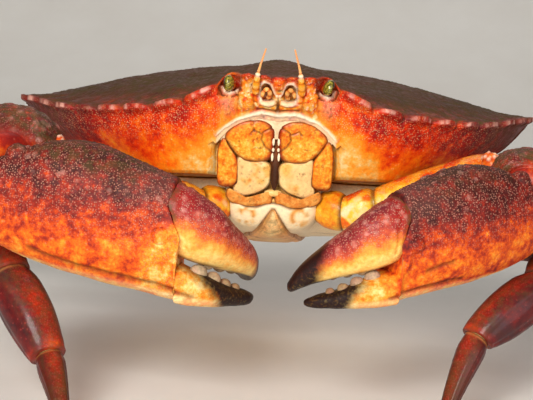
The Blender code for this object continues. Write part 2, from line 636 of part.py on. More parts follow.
def finger_path(distance, label, u):
    """Place and heading along a finger that starts at u and turns inwards at its root and near its tip."""
    steps = 20
    w = 0.0
    heading = 0.0
    for k in range(steps):
        covered = distance * (k + 0.5) / steps
        heading = FINGER_BEND[label] * ease(0.0, 10.0, covered) * (1 + covered / 110)
        heading += TIP_BEND[label] * ease(15.0, 30.0, covered)
        u += distance / steps * math.cos(heading)
        w -= distance / steps * math.sin(heading)
    return u, w, heading


def palm_rings(frame, wrist_normal, sides):
    """Rings of the palm from the wrist's plane to the knuckle's leaning one."""
    rings = []
    for u in (0.0, 4.0, 9.0, 15.0, 22.0, 30.0, 38.0):
        top, bottom, half_thick = (curve(rows, u) for rows in (PALM_TOP, PALM_BOTTOM, PALM_HALF_THICK))
        lean = KNUCKLE_LEAN * ease(10.0, 44.0, u)
        centre = frame.place(u, (top + bottom) / 2, 0.0)
        normal = wrist_normal.lerp(frame.u + frame.v * lean, ease(0.0, 12.0, u))
        half_height = (top - bottom) / 2 * frame.scale
        rings.append(ring(centre, normal, frame.v, half_thick * frame.scale, half_height, sides, 2.4))
    middle_u = (KNUCKLE_TOP[0] + KNUCKLE_BOTTOM[0]) / 2
    knuckle = (KNUCKLE_TOP[1], KNUCKLE_BOTTOM[1], 8.0)
    rings.append(claw_ring(frame, middle_u, 0.0, 0.0, *knuckle, sides, KNUCKLE_LEAN))
    return rings


def knob(centre, way, radius, finish):
    """A rounded bead with its poles along a direction, to be joined to what it grows from."""
    profile = []
    for polar in (0.5, 1.05, math.pi / 2, 2.1, 2.64):
        half = radius * math.sin(polar)
        profile.append(((1 - math.cos(polar)) / 2, half, half))
    reach = way.normalized() * radius
    rings = segment(centre - reach, centre + reach, way, way, KNOB_UP, profile, 8, squareness=2.0)
    return make_node("knob", *skin(rings), finish)


def finger_teeth(frame, label, edge_rows, root_u, teeth, below, finish):
    """Blunt teeth along the edge of a finger that is given by rows of distance and height."""
    beads = []
    for distance, radius in teeth:
        u, w, heading = finger_path(distance, label, root_u)
        centre = frame.place(u, curve(edge_rows, distance) + below, w)
        beads.append(knob(centre, frame.turned(heading), radius * frame.scale, finish))
    return beads


def build_propodus(label, wrist_normal, finish):
    """The palm with the claw's fixed finger, its teeth and the knobs of its two joints."""
    frame = ClawFrame(label)
    rings = palm_rings(frame, wrist_normal, PALM_SIDES)
    for distance, top, bottom, half_thick in FINGER_ROWS:
        u, w, heading = finger_path(distance, label, FINGER_ROOT)
        lean = KNUCKLE_LEAN * (1 - ease(0.0, 7.0, distance))
        rings.append(claw_ring(frame, u, w, heading, top, bottom, half_thick, PALM_SIDES, lean))
    palm = make_node(f"claw_{label}_propodus", *skin(rings), finish)
    upper_edge = [(row[0], row[1]) for row in FINGER_ROWS]
    beads = finger_teeth(frame, label, upper_edge, FINGER_ROOT, FINGER_TEETH, -0.6, finish)
    for u, v, w, radius in PALM_KNOBS:
        beads.append(knob(frame.place(u, v, w), frame.u, radius * frame.scale, finish))
    join(palm, beads)


def build_dactyl(label, finish):
    """The claw's movable finger, which starts at the leaning plane of the knuckle."""
    frame = ClawFrame(label)
    rings = []
    for distance, top, bottom, half_thick in DACTYL_ROWS:
        plane_u = KNUCKLE_TOP[0] + (KNUCKLE_TOP[1] - (top + bottom) / 2) * KNUCKLE_LEAN + GAP / frame.scale * 1.05
        root_u = DACTYL_ROOT if distance else plane_u
        u, w, heading = finger_path(distance, label, root_u)
        lean = KNUCKLE_LEAN * (1 - ease(0.0, 9.0, distance))
        rings.append(claw_ring(frame, u, w, heading, top, bottom, half_thick, DACTYL_SIDES, lean))
    dactyl = make_node(f"claw_{label}_dactyl", *skin(rings), finish)
    lower_edge = [(row[0], row[2]) for row in DACTYL_ROWS]
    join(dactyl, finger_teeth(frame, label, lower_edge, DACTYL_ROOT, DACTYL_TEETH, 1.2, finish))


CLAW_PROFILES = {
    "coxa": ((0.0, 4.4, 4.6), (0.5, 5.4, 5.6), (1.0, 5.0, 5.2)),
    "merus": ((0.0, 4.6, 4.9), (0.12, 5.4, 5.8), (0.22, 5.0, 5.4), (0.34, 5.9, 6.3),
              (0.6, 7.2, 7.9), (0.88, 8.2, 9.2), (1.0, 7.2, 8.2)),
    "carpus": ((0.0, 6.6, 7.6), (0.15, 10.2, 11.2), (0.4, 13.0, 14.0), (0.66, 12.8, 14.6),
               (0.88, 8.8, 12.2), (1.0, 6.6, 9.6)),
}
CARPUS_BOW = {"right": Vector((-4.0, 1.5, 6.0)), "left": Vector((4.0, 0.0, 1.5))}
SPUR_PROFILE = ((0.0, 4.6, 4.6), (0.5, 3.4, 3.4), (0.85, 1.8, 1.8), (1.0, 0.7, 0.7))
CARPUS_TOOTH = {"right": Vector((-57.5, -71.0, 71.5)), "left": Vector((58.2, -60.0, 71.5))}


def build_claw_arm(label, finishes):
    """The base, arm and wrist block of a claw; returns the normal of the wrist's plane."""
    joints = [CLAW_ROOT[label], CLAW_ISCHIUM[label], CLAW_ELBOW[label], CLAW_WRIST[label]]
    ways = [(b - a).normalized() for a, b in zip(joints, joints[1:])]
    wrist_normal = (PALM_HEADING[label].normalized() + ways[2] * 0.7).normalized()
    normals = [ways[0], (ways[0] + ways[1]).normalized(), (ways[1] + ways[2]).normalized(), wrist_normal]
    blocks = {}
    for i, (part, profile) in enumerate(CLAW_PROFILES.items()):
        start, end = joints[i] + normals[i] * (GAP / 2), joints[i + 1] - normals[i + 1] * (GAP / 2)
        scale, bow = (CLAW_SCALE[label], CARPUS_BOW[label]) if part == "carpus" else (1.0, Vector())
        scaled = [(t, half_width * scale, half_height * scale) for t, half_width, half_height in profile]
        rings = segment(start, end, normals[i], normals[i + 1], UP, scaled, 14, bow)
        blocks[part] = make_node(f"claw_{label}_{part}", *skin(rings), finishes[part])
    spur = CARPUS_TOOTH[label]
    root = spur.lerp(joints[2].lerp(joints[3], 0.5), 0.55)
    cone = segment(root, spur, spur - root, spur - root, UP, SPUR_PROFILE, 8)
    join(blocks["carpus"], [make_node("spur", *skin(cone), finishes["carpus"])])
    return wrist_normal


def build_claws():
    """Both claws, each in its own pose, folded in front of the mouth."""
    cream = material("claw_base_cream", (0.8, 0.45, 0.14), 0.45)
    arm = material("claw_arm_orange", (0.62, 0.16, 0.04), 0.45)
    red = material("claw_dark_red", (0.22, 0.03, 0.02), 0.45)
    palm = material("claw_palm_red", (0.42, 0.07, 0.03), 0.42)
    finger = material("claw_finger_pink", (0.5, 0.16, 0.1), 0.42)
    for label in ("left", "right"):
        wrist_normal = build_claw_arm(label, {"coxa": cream, "merus": arm, "carpus": red})
        build_propodus(label, wrist_normal, palm)
        build_dactyl(label, finger)


def build_legs():
    """The eight walking legs."""
    red = material("leg_red", (0.3, 0.035, 0.02), 0.42)
    tip = material("leg_tip_brown", (0.12, 0.05, 0.03), 0.4)
    finishes = {"merus": red, "carpus": red, "propodus": red, "dactyl": tip}
    for name in LEG_REACH:
        build_leg(name, finishes)


def main():
    """Every named piece of the crab, in an emptied scene."""
    for leftover in list(bpy.data.objects):
        bpy.data.objects.remove(leftover)
    build_carapace()
    build_thorax()
    tail = material("tail_cream", (0.6, 0.42, 0.25), 0.5)
    make_node("abdomen", *skin(tail_rings()), tail)
    build_mouthparts()
    build_feelers_and_eyes()
    build_claws()
    build_legs()


main()
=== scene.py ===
"""The looks of a red rock crab: fine shell, claws, face and legs laid over its solids.

Lengths are millimetres unless a name says otherwise. Every point ends in the stance, where the crab stands on
z = 0 with +X to its own left and -Y ahead of it. The shell frame is the carapace laid level: x left, y back,
z up. A claw's frame runs u from wrist to fingers, v up the palm and w out of its outer face.
"""
import itertools
import math

import bpy
import numpy as np
from mathutils import Matrix, Vector


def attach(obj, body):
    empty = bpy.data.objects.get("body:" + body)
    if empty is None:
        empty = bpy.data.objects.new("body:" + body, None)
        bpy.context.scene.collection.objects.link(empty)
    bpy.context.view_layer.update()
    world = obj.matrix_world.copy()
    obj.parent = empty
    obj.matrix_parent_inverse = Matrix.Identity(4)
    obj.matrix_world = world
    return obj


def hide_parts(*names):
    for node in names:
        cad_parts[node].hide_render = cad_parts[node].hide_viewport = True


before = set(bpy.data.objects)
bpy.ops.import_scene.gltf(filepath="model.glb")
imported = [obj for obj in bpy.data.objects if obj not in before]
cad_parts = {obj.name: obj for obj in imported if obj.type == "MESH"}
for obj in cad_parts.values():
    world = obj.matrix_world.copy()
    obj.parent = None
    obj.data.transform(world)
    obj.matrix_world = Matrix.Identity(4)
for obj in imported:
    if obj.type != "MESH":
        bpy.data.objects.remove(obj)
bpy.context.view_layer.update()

MM = 0.001
UP = np.array((0.0, 0.0, 1.0))
SIDES = ((1, "left"), (-1, "right"))
# How far back the stance moves, so that the middle of the footprint is the origin
FOOTPRINT_SHIFT = 18.67
# Half the gap between two segments of a limb
JOINT_GAP = 0.15

# Carapace
HALF_WIDTH = 80.0
SHELL_FRONT = 58.2
SHELL_REAR = 42.0
REAR_HALF = 27.0
REAR_CORNER = 40.0
CREST = np.array((0.0, -10.0, 17.0))
PITCH = math.radians(10.0)
TIP_RISE = 72.5
FRONT_HALF = 10.5
FRONT_TOOTH_PITCH = 4.2
FRONT_TOOTH_LENGTH = 1.8
ORBIT_END = 17.4
ORBIT_SETBACK = 4.2
SIDE_TEETH = 9
SIDE_TOOTH_LENGTH = 2.4
SIDE_TOOTH_LIFT = 1.2
SIDE_CORNER = (17.4, -57.4)
SIDE_FULLNESS = 1.5
# Heights of the shell's edge, and of the top just inside it, at distances from the middle
MARGIN_HEIGHTS = ((17.4, 4.0), (23.0, 0.4), (35.0, -2.3), (44.0, -2.8),
                  (54.0, -2.6), (65.0, -1.2), (71.0, 0.6), (80.0, 3.2))
BROAD_HEIGHTS = ((0.0, 5.6), (12.0, 4.6), (24.0, 1.6), (38.0, -1.4), (54.0, -2.2), (66.0, -0.8), (80.0, 3.2))
# Swellings of the shell's top as (x, y, radius, height)
REGIONS = ((9, -38, 8, 1.3), (0, -27, 7, 1.2), (0, 8, 10, 1.6), (44, -24, 12, 1.2),
           (37, 6, 13, 1.5), (31, -43, 8, 0.9), (24, 23, 10, 1.0))
EDGE_THICKNESS = 1.6
UNDER_HEIGHT = -20.0
MOUTH_RECESS = 4.3
# Heights of the rim over the mouth at distances from the middle
RIM_HEIGHTS = ((0.0, -4.0), (4.5, -3.5), (8.2, -4.2), (11.8, -5.6), (14.5, -7.8), (17.4, -10.8))
FACE_Y = -56.2
FOSSA_X = 3.2

# The plane that the outer faces of the mouthparts share, as y at a shell height
MOUTH_PLANE_Y = -53.5
MOUTH_PLANE_Z = -4.0
MOUTH_PLANE_SLOPE = 0.42
PLATE_THICKNESS = 3.2

# Claws, sized as the crab's right one; its left one is smaller
CLAW_SCALE = {"right": 1.0, "left": 0.9}
PALM_TOP = ((0.0, 9.5), (5.0, 13.0), (11.0, 15.8), (18.0, 17.6), (26.0, 17.9),
            (34.0, 16.9), (41.0, 15.8), (45.0, 14.4))
PALM_BOTTOM = ((0.0, -12.2), (5.0, -14.4), (11.0, -15.7), (18.0, -16.3), (26.0, -16.8),
               (34.0, -17.1), (50.0, -17.2))
PALM_HALF_THICK = ((0.0, 7.2), (5.0, 8.0), (11.0, 9.0), (18.0, 10.2), (26.0, 10.4),
                   (34.0, 9.8), (41.0, 9.0), (50.0, 7.9))
KNUCKLE_TOP = (45.2, 14.2)
KNUCKLE_BOTTOM = (51.8, -17.2)
KNUCKLE_LEAN = (KNUCKLE_BOTTOM[0] - KNUCKLE_TOP[0]) / (KNUCKLE_TOP[1] - KNUCKLE_BOTTOM[1])
FINGER_BEND = {"right": math.radians(42.0), "left": math.radians(32.0)}
TIP_BEND = {"right": math.radians(34.0), "left": math.radians(4.0)}
# The fixed and the movable finger as (distance along it, top, bottom, half thickness)
FINGER_ROWS = ((0.0, -8.0, -17.1, 6.7), (3.0, -8.4, -17.2, 6.3), (7.0, -9.2, -17.3, 5.6),
               (11.5, -10.8, -17.1, 4.6), (16.0, -11.9, -17.0, 3.8), (20.5, -12.8, -16.8, 3.0),
               (23.6, -13.7, -16.3, 1.9), (24.8, -14.5, -15.7, 0.9))
DACTYL_ROWS = ((0.0, 13.2, -5.4, 7.2), (3.5, 12.2, -6.0, 7.2), (8.5, 9.4, -6.9, 6.6), (13.5, 5.7, -7.7, 5.8),
               (18.5, 2.6, -8.6, 5.0), (23.5, -0.9, -9.7, 4.2), (28.0, -4.6, -11.2, 3.3),
               (31.0, -7.9, -12.4, 2.2), (32.3, -9.6, -12.1, 1.1))
# Where the path of the movable finger starts, and its gap to the plane of the knuckle
DACTYL_ROOT = 47.6
DACTYL_GAP = 0.315
# How square the claws' rings are, where 2 is an ellipse
CLAW_SQUARENESS = 2.4
# Teeth of the two fingers: distance along the finger, radius and whiteness
FINGER_TEETH = ((4.5, 2.1, 0.7), (9.0, 1.85, 0.62), (13.2, 1.55, 0.45), (17.0, 1.25, 0.4))
DACTYL_TEETH = ((10.1, 2.1, 0.7), (14.6, 1.85, 0.5), (18.8, 1.55, 0.3), (22.6, 1.25, 0.1))
WRIST_KNOB = (3.5, 10.5, 3.0)
HINGE_KNOB = (44.9, 0.0, 7.0)

# Joint points of the limbs in the stance
CLAW_ROOT = {"right": (-14.1, -41.2, 51.6), "left": (14.1, -41.2, 51.6)}
CLAW_ISCHIUM = {"right": (-20.8, -44.6, 50.8), "left": (20.8, -44.9, 50.6)}
CLAW_ELBOW = {"right": (-62.5, -55.0, 60.0), "left": (62.0, -50.8, 61.8)}
CLAW_WRIST = {"right": (-71.5, -84.5, 58.4), "left": (68.3, -69.0, 56.9)}
PALM_HEADING = {"right": (0.977, -0.123, -0.174), "left": (-0.860, -0.480, -0.157)}
CARPUS_BOW = {"right": (-4.0, 1.5, 6.0), "left": (4.0, 0.0, 1.5)}
CARPUS_TOOTH = {"right": (-57.5, -71.0, 71.5), "left": (58.2, -60.0, 71.5)}
# Limb segments as (share of the way along, half width, half height)
CLAW_PROFILES = {
    "coxa": ((0.0, 4.4, 4.6), (0.5, 5.4, 5.6), (1.0, 5.0, 5.2)),
    "merus": ((0.0, 4.6, 4.9), (0.12, 5.4, 5.8), (0.22, 5.0, 5.4), (0.34, 5.9, 6.3),
              (0.6, 7.2, 7.9), (0.88, 8.2, 9.2), (1.0, 7.2, 8.2)),
    "carpus": ((0.0, 6.6, 7.6), (0.15, 10.2, 11.2), (0.4, 13.0, 14.0), (0.66, 12.8, 14.6),
               (0.88, 8.8, 12.2), (1.0, 6.6, 9.6)),
}
SPUR_PROFILE = ((0.0, 4.6, 4.6), (0.5, 3.4, 3.4), (0.85, 1.8, 1.8), (1.0, 0.7, 0.7))
LEG_REACH = {
    "right_1": [(-41.0, -23.0, 46.5), (-86.0, -55.0, 42.0), (-70.5, -75.0, 33.5),
                (-57.5, -88.0, 15.5), (-50.0, -106.0, 0.0)],
    "left_1": [(41.0, -23.0, 46.5), (88.0, -46.0, 44.0), (75.5, -64.0, 35.5),
               (57.0, -74.0, 22.0), (47.0, -86.0, 0.0)],
    "right_2": [(-42.0, -9.5, 44.5), (-93.0, -25.0, 57.0), (-113.0, -34.0, 48.0),
                (-124.5, -43.0, 25.0), (-132.0, -51.0, 0.0)],
    "left_2": [(42.0, -9.5, 44.5), (93.0, -22.0, 58.0), (114.0, -30.0, 49.0),
               (126.0, -37.0, 25.0), (133.5, -44.0, 0.0)],
    "right_3": [(-41.5, 3.5, 42.5), (-94.0, 14.0, 58.0), (-116.0, 20.0, 50.0),
                (-129.0, 24.0, 26.0), (-137.0, 28.0, 0.0)],
    "left_3": [(41.5, 3.5, 42.5), (94.0, 12.0, 57.0), (116.0, 17.0, 49.0),
               (129.0, 20.0, 25.0), (137.0, 23.0, 0.0)],
    "right_4": [(-37.0, 15.5, 41.5), (-77.0, 40.0, 55.0), (-93.0, 51.0, 47.0),
                (-104.0, 61.0, 25.0), (-111.0, 69.0, 0.0)],
    "left_4": [(37.0, 15.5, 41.5), (78.0, 38.0, 54.0), (94.0, 50.0, 46.0),
               (106.0, 60.0, 24.0), (113.0, 67.0, 0.0)],
}
LEG_PROFILES = {
    "base": ((0.0, 5.0, 6.0), (0.6, 5.6, 6.6), (1.0, 4.6, 5.4)),
    "merus": ((0.0, 4.0, 4.6), (0.1, 4.7, 5.6), (0.22, 4.1, 5.1), (0.34, 4.9, 6.5),
              (0.65, 5.2, 7.1), (0.9, 4.9, 6.3), (1.0, 4.2, 5.4)),
    "carpus": ((0.0, 3.2, 4.2), (0.25, 4.5, 5.6), (0.75, 5.1, 6.3), (1.0, 4.4, 5.3)),
    "propodus": ((0.0, 3.4, 4.4), (0.22, 4.1, 5.6), (0.6, 3.9, 5.8), (0.88, 3.3, 4.7), (1.0, 2.9, 3.8)),
    "dactyl": ((0.0, 2.3, 2.9), (0.2, 2.5, 3.1), (0.55, 1.9, 2.4), (0.85, 1.3, 1.5), (1.0, 1.1, 1.2)),
}
LEG_PARTS = ("merus", "carpus", "propodus", "dactyl")
LEG_BOW = {"merus": 1.2, "carpus": 0.8, "propodus": 0.4, "dactyl": 1.6}
LEG_STOUTNESS = {"1": 1.1, "2": 1.0, "3": 0.97, "4": 0.88}
# How much thicker the outer segments of the first pair are, from their front to their back
FIRST_LEG_THICKNESS = {"base": 1.0, "merus": 1.0, "carpus": 1.25, "propodus": 1.5, "dactyl": 1.35}
THORAX_HALF = ((0, -43.4), (6, -43.2), (11, -42.2), (13.2, -38.5), (14.2, -33.5), (18, -29.5), (26, -26.5),
               (33, -23.5), (37, -14), (38.5, 0), (37, 12), (31, 22), (22, 29), (10, 32.5), (0, 33.5))
# Levels of the breast as (z, share of its outline, foremost y)
THORAX_LEVELS = ((-20.3, 0.97, -42.0), (-25.4, 0.98, -40.9), (-26.4, 1.0, -60.0), (-30.0, 0.97, -60.0),
                 (-33.0, 0.87, -60.0), (-35.2, 0.68, -60.0), (-36.0, 0.32, -60.0))
THORAX_CENTRE_Y = -4.0
# The middle of the tail as (y, z, half width), from its root round the rear to its tip
TAIL_PATH = ((41.0, -8.5, 15.5), (41.6, -14.0, 17.5), (39.8, -21.0, 17.0), (35.6, -28.0, 15.0),
             (29.0, -32.6, 13.0), (18.0, -35.8, 11.3), (5.0, -36.8, 10.0), (-9.0, -36.9, 8.8),
             (-21.0, -36.2, 7.4), (-35.0, -35.8, 5.4), (-41.4, -33.6, 3.2), (-44.3, -29.6, 0.7))
TAIL_HALF_THICK = 1.5
# Outlines of the outer mouthparts as (x, z) in the shell frame
MERUS_PLATE = ((1.0, -7.4), (2.4, -5.7), (5.0, -4.9), (9.0, -5.3), (12.2, -6.8), (14.3, -9.3),
               (13.3, -11.3), (12.1, -12.9), (10.5, -14.5), (8.6, -15.5), (6.0, -15.8),
               (3.2, -15.6), (1.4, -14.2), (0.9, -10.5))
ISCHIUM_PLATE = ((1.5, -17.0), (3.2, -16.1), (6.0, -16.3), (8.7, -16.0), (10.5, -15.2), (10.5, -18.5),
                 (10.5, -22.0), (11.4, -23.4), (11.2, -24.8), (9.4, -25.6), (6.2, -25.0), (3.6, -23.9),
                 (1.7, -22.0), (1.4, -19.4))
EXOPOD_PLATE = ((14.9, -10.2), (16.0, -12.5), (16.2, -17.0), (15.8, -22.3), (13.4, -22.9), (11.2, -22.2),
                (11.0, -18.5), (11.2, -15.6), (12.7, -13.4), (13.9, -11.7))
# Eyes and feelers as (x, y, z, half width, half height) in the shell frame
EYE_PATH = ((13.1, -52.9, 4.9, 1.1, 1.2), (13.4, -53.9, 4.9, 1.2, 1.6), (13.8, -55.2, 5.0, 1.25, 2.15),
            (14.2, -56.4, 5.1, 1.2, 2.15), (14.5, -57.2, 5.1, 0.9, 1.7), (14.7, -57.6, 5.1, 0.4, 0.8))
ANTENNA_PATH = ((6.4, -57.5, 2.6, 0.9, 0.9), (6.4, -59.0, 3.8, 1.0, 1.0), (6.2, -60.6, 5.4, 0.85, 0.85),
                (6.0, -61.2, 6.8, 0.7, 0.7), (5.8, -61.4, 8.0, 0.36, 0.36), (5.3, -61.5, 10.0, 0.28, 0.28),
                (4.6, -61.2, 12.4, 0.24, 0.24), (4.0, -60.7, 14.6, 0.2, 0.2))
ANTENNULE_PATH = ((2.9, -55.4, 1.5, 0.5, 0.5), (2.5, -57.0, 1.9, 0.55, 0.55), (2.5, -58.0, 2.8, 0.5, 0.5),
                  (3.3, -58.4, 3.5, 0.5, 0.5), (4.2, -58.2, 2.8, 0.45, 0.45), (4.6, -57.8, 1.4, 0.35, 0.35))


# Curves and fields, all on numpy arrays

def unit(vectors):
    """The vectors at length 1."""
    vectors = np.asarray(vectors, float)
    return vectors / np.maximum(np.linalg.norm(vectors, axis=-1, keepdims=True), 1e-9)


def ease(low, high, x):
    """0 below low, 1 above high, and a smooth step between."""
    t = np.clip((np.asarray(x, float) - low) / (high - low), 0.0, 1.0)
    return t * t * (3 - 2 * t)


def hump(x, width):
    """1 at x = 0, falling off smoothly over the width."""
    return np.exp(-(np.asarray(x) / width) ** 2)


def hermite(a, b, leave, arrive, t):
    """The smooth way from a at t = 0 to b at 1, with the slopes that it leaves and arrives with."""
    return (a * (2 * t**3 - 3 * t**2 + 1) + leave * (t**3 - 2 * t**2 + t)
            + b * (3 * t**2 - 2 * t**3) + arrive * (t**3 - t**2))


def curve(rows, x):
    """A smooth curve through the rows (x, value), level with their trend at each row."""
    xs, ys = (np.array([row[k] for row in rows], float) for k in (0, 1))
    last = len(xs) - 1
    low, high = np.maximum(np.arange(last + 1) - 1, 0), np.minimum(np.arange(last + 1) + 1, last)
    slope = (ys[high] - ys[low]) / (xs[high] - xs[low])
    x = np.clip(x, xs[0], xs[-1])
    i = np.clip(np.searchsorted(xs, x, side="right") - 1, 0, last - 1)
    step = xs[i + 1] - xs[i]
    return hermite(ys[i], ys[i + 1], slope[i] * step, slope[i + 1] * step, (x - xs[i]) / step)


def smooth_rows(controls, places):
    """Rows at fractional places along a stack of control rows, on a curve through them."""
    controls = np.asarray(controls, float)
    last = len(controls) - 1
    places = np.clip(places, 0.0, last)
    i = np.minimum(places.astype(int), last - 1)
    t = (places - i).reshape((-1,) + (1,) * (controls.ndim - 1))
    before, after = np.maximum(i - 1, 0), np.minimum(i + 2, last)
    a, b = controls[i], controls[i + 1]
    return hermite(a, b, (b - controls[before]) / 2, (controls[after] - a) / 2, t)


def hashed(cells, seed):
    """A fixed random number from 0 to 1 for each whole-numbered cell."""
    x, y, z = (cells[..., k].astype(np.int64) for k in range(3))
    mixed = (x * 73856093) ^ (y * 19349663) ^ (z * 83492791) ^ (seed * 2654435761)
    mixed = ((mixed ^ (mixed >> 13)) * 1274126177) & 0xFFFFFFFF
    mixed = ((mixed ^ (mixed >> 15)) * 2246822519) & 0xFFFFFFFF
    return ((mixed ^ (mixed >> 16)) & 0xFFFFFF) / float(0xFFFFFF)


NOISE_TURN = np.array(Matrix.Rotation(0.9, 3, "X") @ Matrix.Rotation(0.7, 3, "Z"))


def rough(points, size, seed=0):
    """Smooth noise from about -1 to 1 whose lumps are about the size, with finer lumps on them."""
    total = 0.0
    for octave, share in enumerate((1.5, 0.6)):
        scaled = (points @ NOISE_TURN) * ((1 + 1.2 * octave) / size)
        cell = np.floor(scaled)
        t = scaled - cell
        t = t * t * (3 - 2 * t)
        for corner in itertools.product((0, 1), repeat=3):
            weight = np.prod(np.where(corner, t, 1 - t), axis=-1)
            total = total + share * weight * (hashed(cell + corner, seed + 11 * octave) - 0.5)
    return total


def grains(points, spacing, seed=0):
    """Rounded granules scattered about the spacing apart: 1 on a grain's top, 0 between grains."""
    scaled = points / spacing
    cell = np.floor(scaled)
    nearest = np.full(points.shape[:-1], 9.0)
    for offset in itertools.product((-1, 0, 1), repeat=3):
        other = cell + offset
        middle = other + np.stack([hashed(other, seed + k) for k in range(3)], axis=-1)
        nearest = np.minimum(nearest, np.linalg.norm(scaled - middle, axis=-1))
    return np.clip(1 - (nearest / 0.5) ** 2, 0.0, 1.0)


def away_from(places, line):
    """The distance of places from a run of straight lines."""
    nearest = np.full(places.shape[:-1], 1e9)
    for start, end in zip(line, line[1:]):
        start, way = np.array(start, float), np.subtract(end, start)
        t = np.clip(((places - start) @ way) / (way @ way), 0.0, 1.0)
        nearest = np.minimum(nearest, np.linalg.norm(places - start - t[..., None] * way, axis=-1))
    return nearest


def stand(points):
    """Points of the shell frame, placed in the stance."""
    x, y, z = np.moveaxis(np.asarray(points, float), -1, 0)
    back = y * math.cos(PITCH) + z * math.sin(PITCH)
    rise = z * math.cos(PITCH) - y * math.sin(PITCH)
    return np.stack((x, back, rise + TIP_RISE), axis=-1)


# Grids of points: rings from one end of a piece to the other, each closed on itself

def outward(grid):
    """The normals of a grid of rings, out of the piece."""
    across = np.roll(grid, -1, axis=1) - np.roll(grid, 1, axis=1)
    along = np.gradient(grid, axis=0)
    normals = unit(np.cross(across, along))
    if np.mean(np.sum(normals * (grid - grid.mean(axis=1, keepdims=True)), axis=-1)) < 0:
        normals = -normals
    return normals


def raised(grid, height):
    """The grid moved out along its normals."""
    return grid + outward(grid) * np.asarray(height)[..., None]


def ring(centre, normal, up, half_width, half_height, sides, squareness=2.3):
    """A rounded outline across the normal: a superellipse with its height along up."""
    normal = unit(normal)
    high = unit(np.asarray(up) - normal * np.dot(up, normal))
    side = np.cross(normal, high)
    angle = 2 * math.pi * (np.arange(sides) + 0.5) / sides
    c, s = np.cos(angle), np.sin(angle)
    across = np.sign(c) * np.abs(c) ** (2 / squareness) * half_width
    rise = np.sign(s) * np.abs(s) ** (2 / squareness) * half_height
    return np.asarray(centre) + across[:, None] * side + rise[:, None] * high


def segment(start, end, start_normal, end_normal, up, profile, sides, bow=(0, 0, 0)):
    """Control rings of a limb segment, whose end rings lie in the planes of its two joints."""
    start, end, bow = (np.asarray(p, float) for p in (start, end, bow))
    along = unit(end - start)
    rings = []
    for t, half_width, half_height in profile:
        normal = start_normal + (along - start_normal) * ease(0.0, 0.3, t)
        normal = normal + (end_normal - normal) * ease(0.7, 1.0, t)
        centre = start + (end - start) * t + bow * (4 * t * (1 - t))
        rings.append(ring(centre, normal, up, half_width, half_height, sides))
    return np.array(rings)


def limb_grid(start, end, normals, up, profile, sides, rows, bow):
    """A limb segment as rings, how far along each one lies, and how far up each of its places."""
    places = np.linspace(0, len(profile) - 1, rows)
    grid = smooth_rows(segment(start, end, *normals, up, profile, sides, bow), places)
    t = np.interp(places, np.arange(len(profile)), [row[0] for row in profile])[:, None]
    rise = np.sin(2 * math.pi * (np.arange(sides) + 0.5) / sides)[None, :]
    return grid, t, rise


def blunted(grid):
    """The grid with its last ring drawn in, which rounds off the tip."""
    middle = grid[-1].mean(axis=0)
    return np.concatenate((grid[:-1], [middle + (grid[-1] - middle) * 0.4]))


def blob(centre, radii, axes, rings=14, places=20):
    """A rounded bead: radii along its three axes, its poles on the first."""
    polar = np.linspace(0.08, math.pi - 0.08, rings)[:, None]
    turn = 2 * math.pi * np.arange(places) / places
    girth = np.sin(polar)
    local = (np.cos(polar) * radii[0], girth * np.cos(turn) * radii[1], girth * np.sin(turn) * radii[2])
    return np.asarray(centre) + np.stack(np.broadcast_arrays(*local), axis=-1) @ unit(axes)


def signed_volume(points, faces):
    """Six times the volume in a closed mesh of triangles and quads; below 0 where it is inside out."""
    corners = points[faces]
    first = np.einsum("ij,ij->i", corners[:, 0], np.cross(corners[:, 1], corners[:, 2])).sum()
    return first + np.einsum("ij,ij->i", corners[:, 0], np.cross(corners[:, 2], corners[:, 3])).sum()


def closed_skin(grid):
    """Points and quads of a grid of rings, each end closed by a fan round its middle."""
    rings, places = grid.shape[:2]
    points = np.concatenate((grid.reshape(-1, 3), [grid[0].mean(0), grid[-1].mean(0)]))
    k = np.arange(places)
    after = (k + 1) % places
    row = np.arange(rings - 1)[:, None] * places
    walls = np.stack((row + k, row + after, row + places + after, row + places + k), axis=-1).reshape(-1, 4)
    last = (rings - 1) * places
    near = np.stack((after, k, np.full(places, last + places), np.full(places, last + places)), axis=-1)
    far = np.stack((last + k, last + after, *[np.full(places, last + places + 1)] * 2), axis=-1)
    faces = np.concatenate((walls, near, far))
    if signed_volume(points, faces) < 0:
        faces = faces[:, ::-1]
    return points, faces


def placed(name, data):
    """An object of the data, linked to the scene."""
    item = bpy.data.objects.new(name, data)
    bpy.context.collection.objects.link(item)
    return item


def make_piece(name, finish, skins, node=None):
    """A visible piece from (grid, layers) pairs; the layers are values that its material reads."""
    points, faces, values, offset = [], [], {}, 0
    names = {key for _, layers in skins for key in layers}
    for grid, layers in skins:
        skin_points, skin_faces = closed_skin(grid)
        points.append(skin_points)
        faces.extend(tuple(dict.fromkeys(face)) for face in (skin_faces + offset).tolist())
        offset += len(skin_points)
        for key in names:
            layer = np.broadcast_to(layers.get(key, 0.0), grid.shape[:2])
            ends = (layer[0].mean(), layer[-1].mean())
            values.setdefault(key, []).append(np.concatenate((layer.ravel(), ends)))
    points = (np.concatenate(points) + (0, FOOTPRINT_SHIFT, 0)) * MM
    mesh = bpy.data.meshes.new(name)
    mesh.from_pydata(points.tolist(), [], faces)
    for key, parts in values.items():
        attribute = mesh.attributes.new(key, "FLOAT", "POINT")
        attribute.data.foreach_set("value", np.concatenate(parts).astype(np.float32))
    mesh.materials.append(finish)
    mesh.shade_smooth()
    piece = placed(name, mesh)
    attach(piece, "root")
    if node:
        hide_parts(node)


# Materials

def srgb(red, green, blue):
    """A colour given as 0 to 255 on a screen, as the shader wants it."""
    return tuple(((c / 255 + 0.055) / 1.055) ** 2.4 if c > 10 else c / 3295 for c in (red, green, blue))


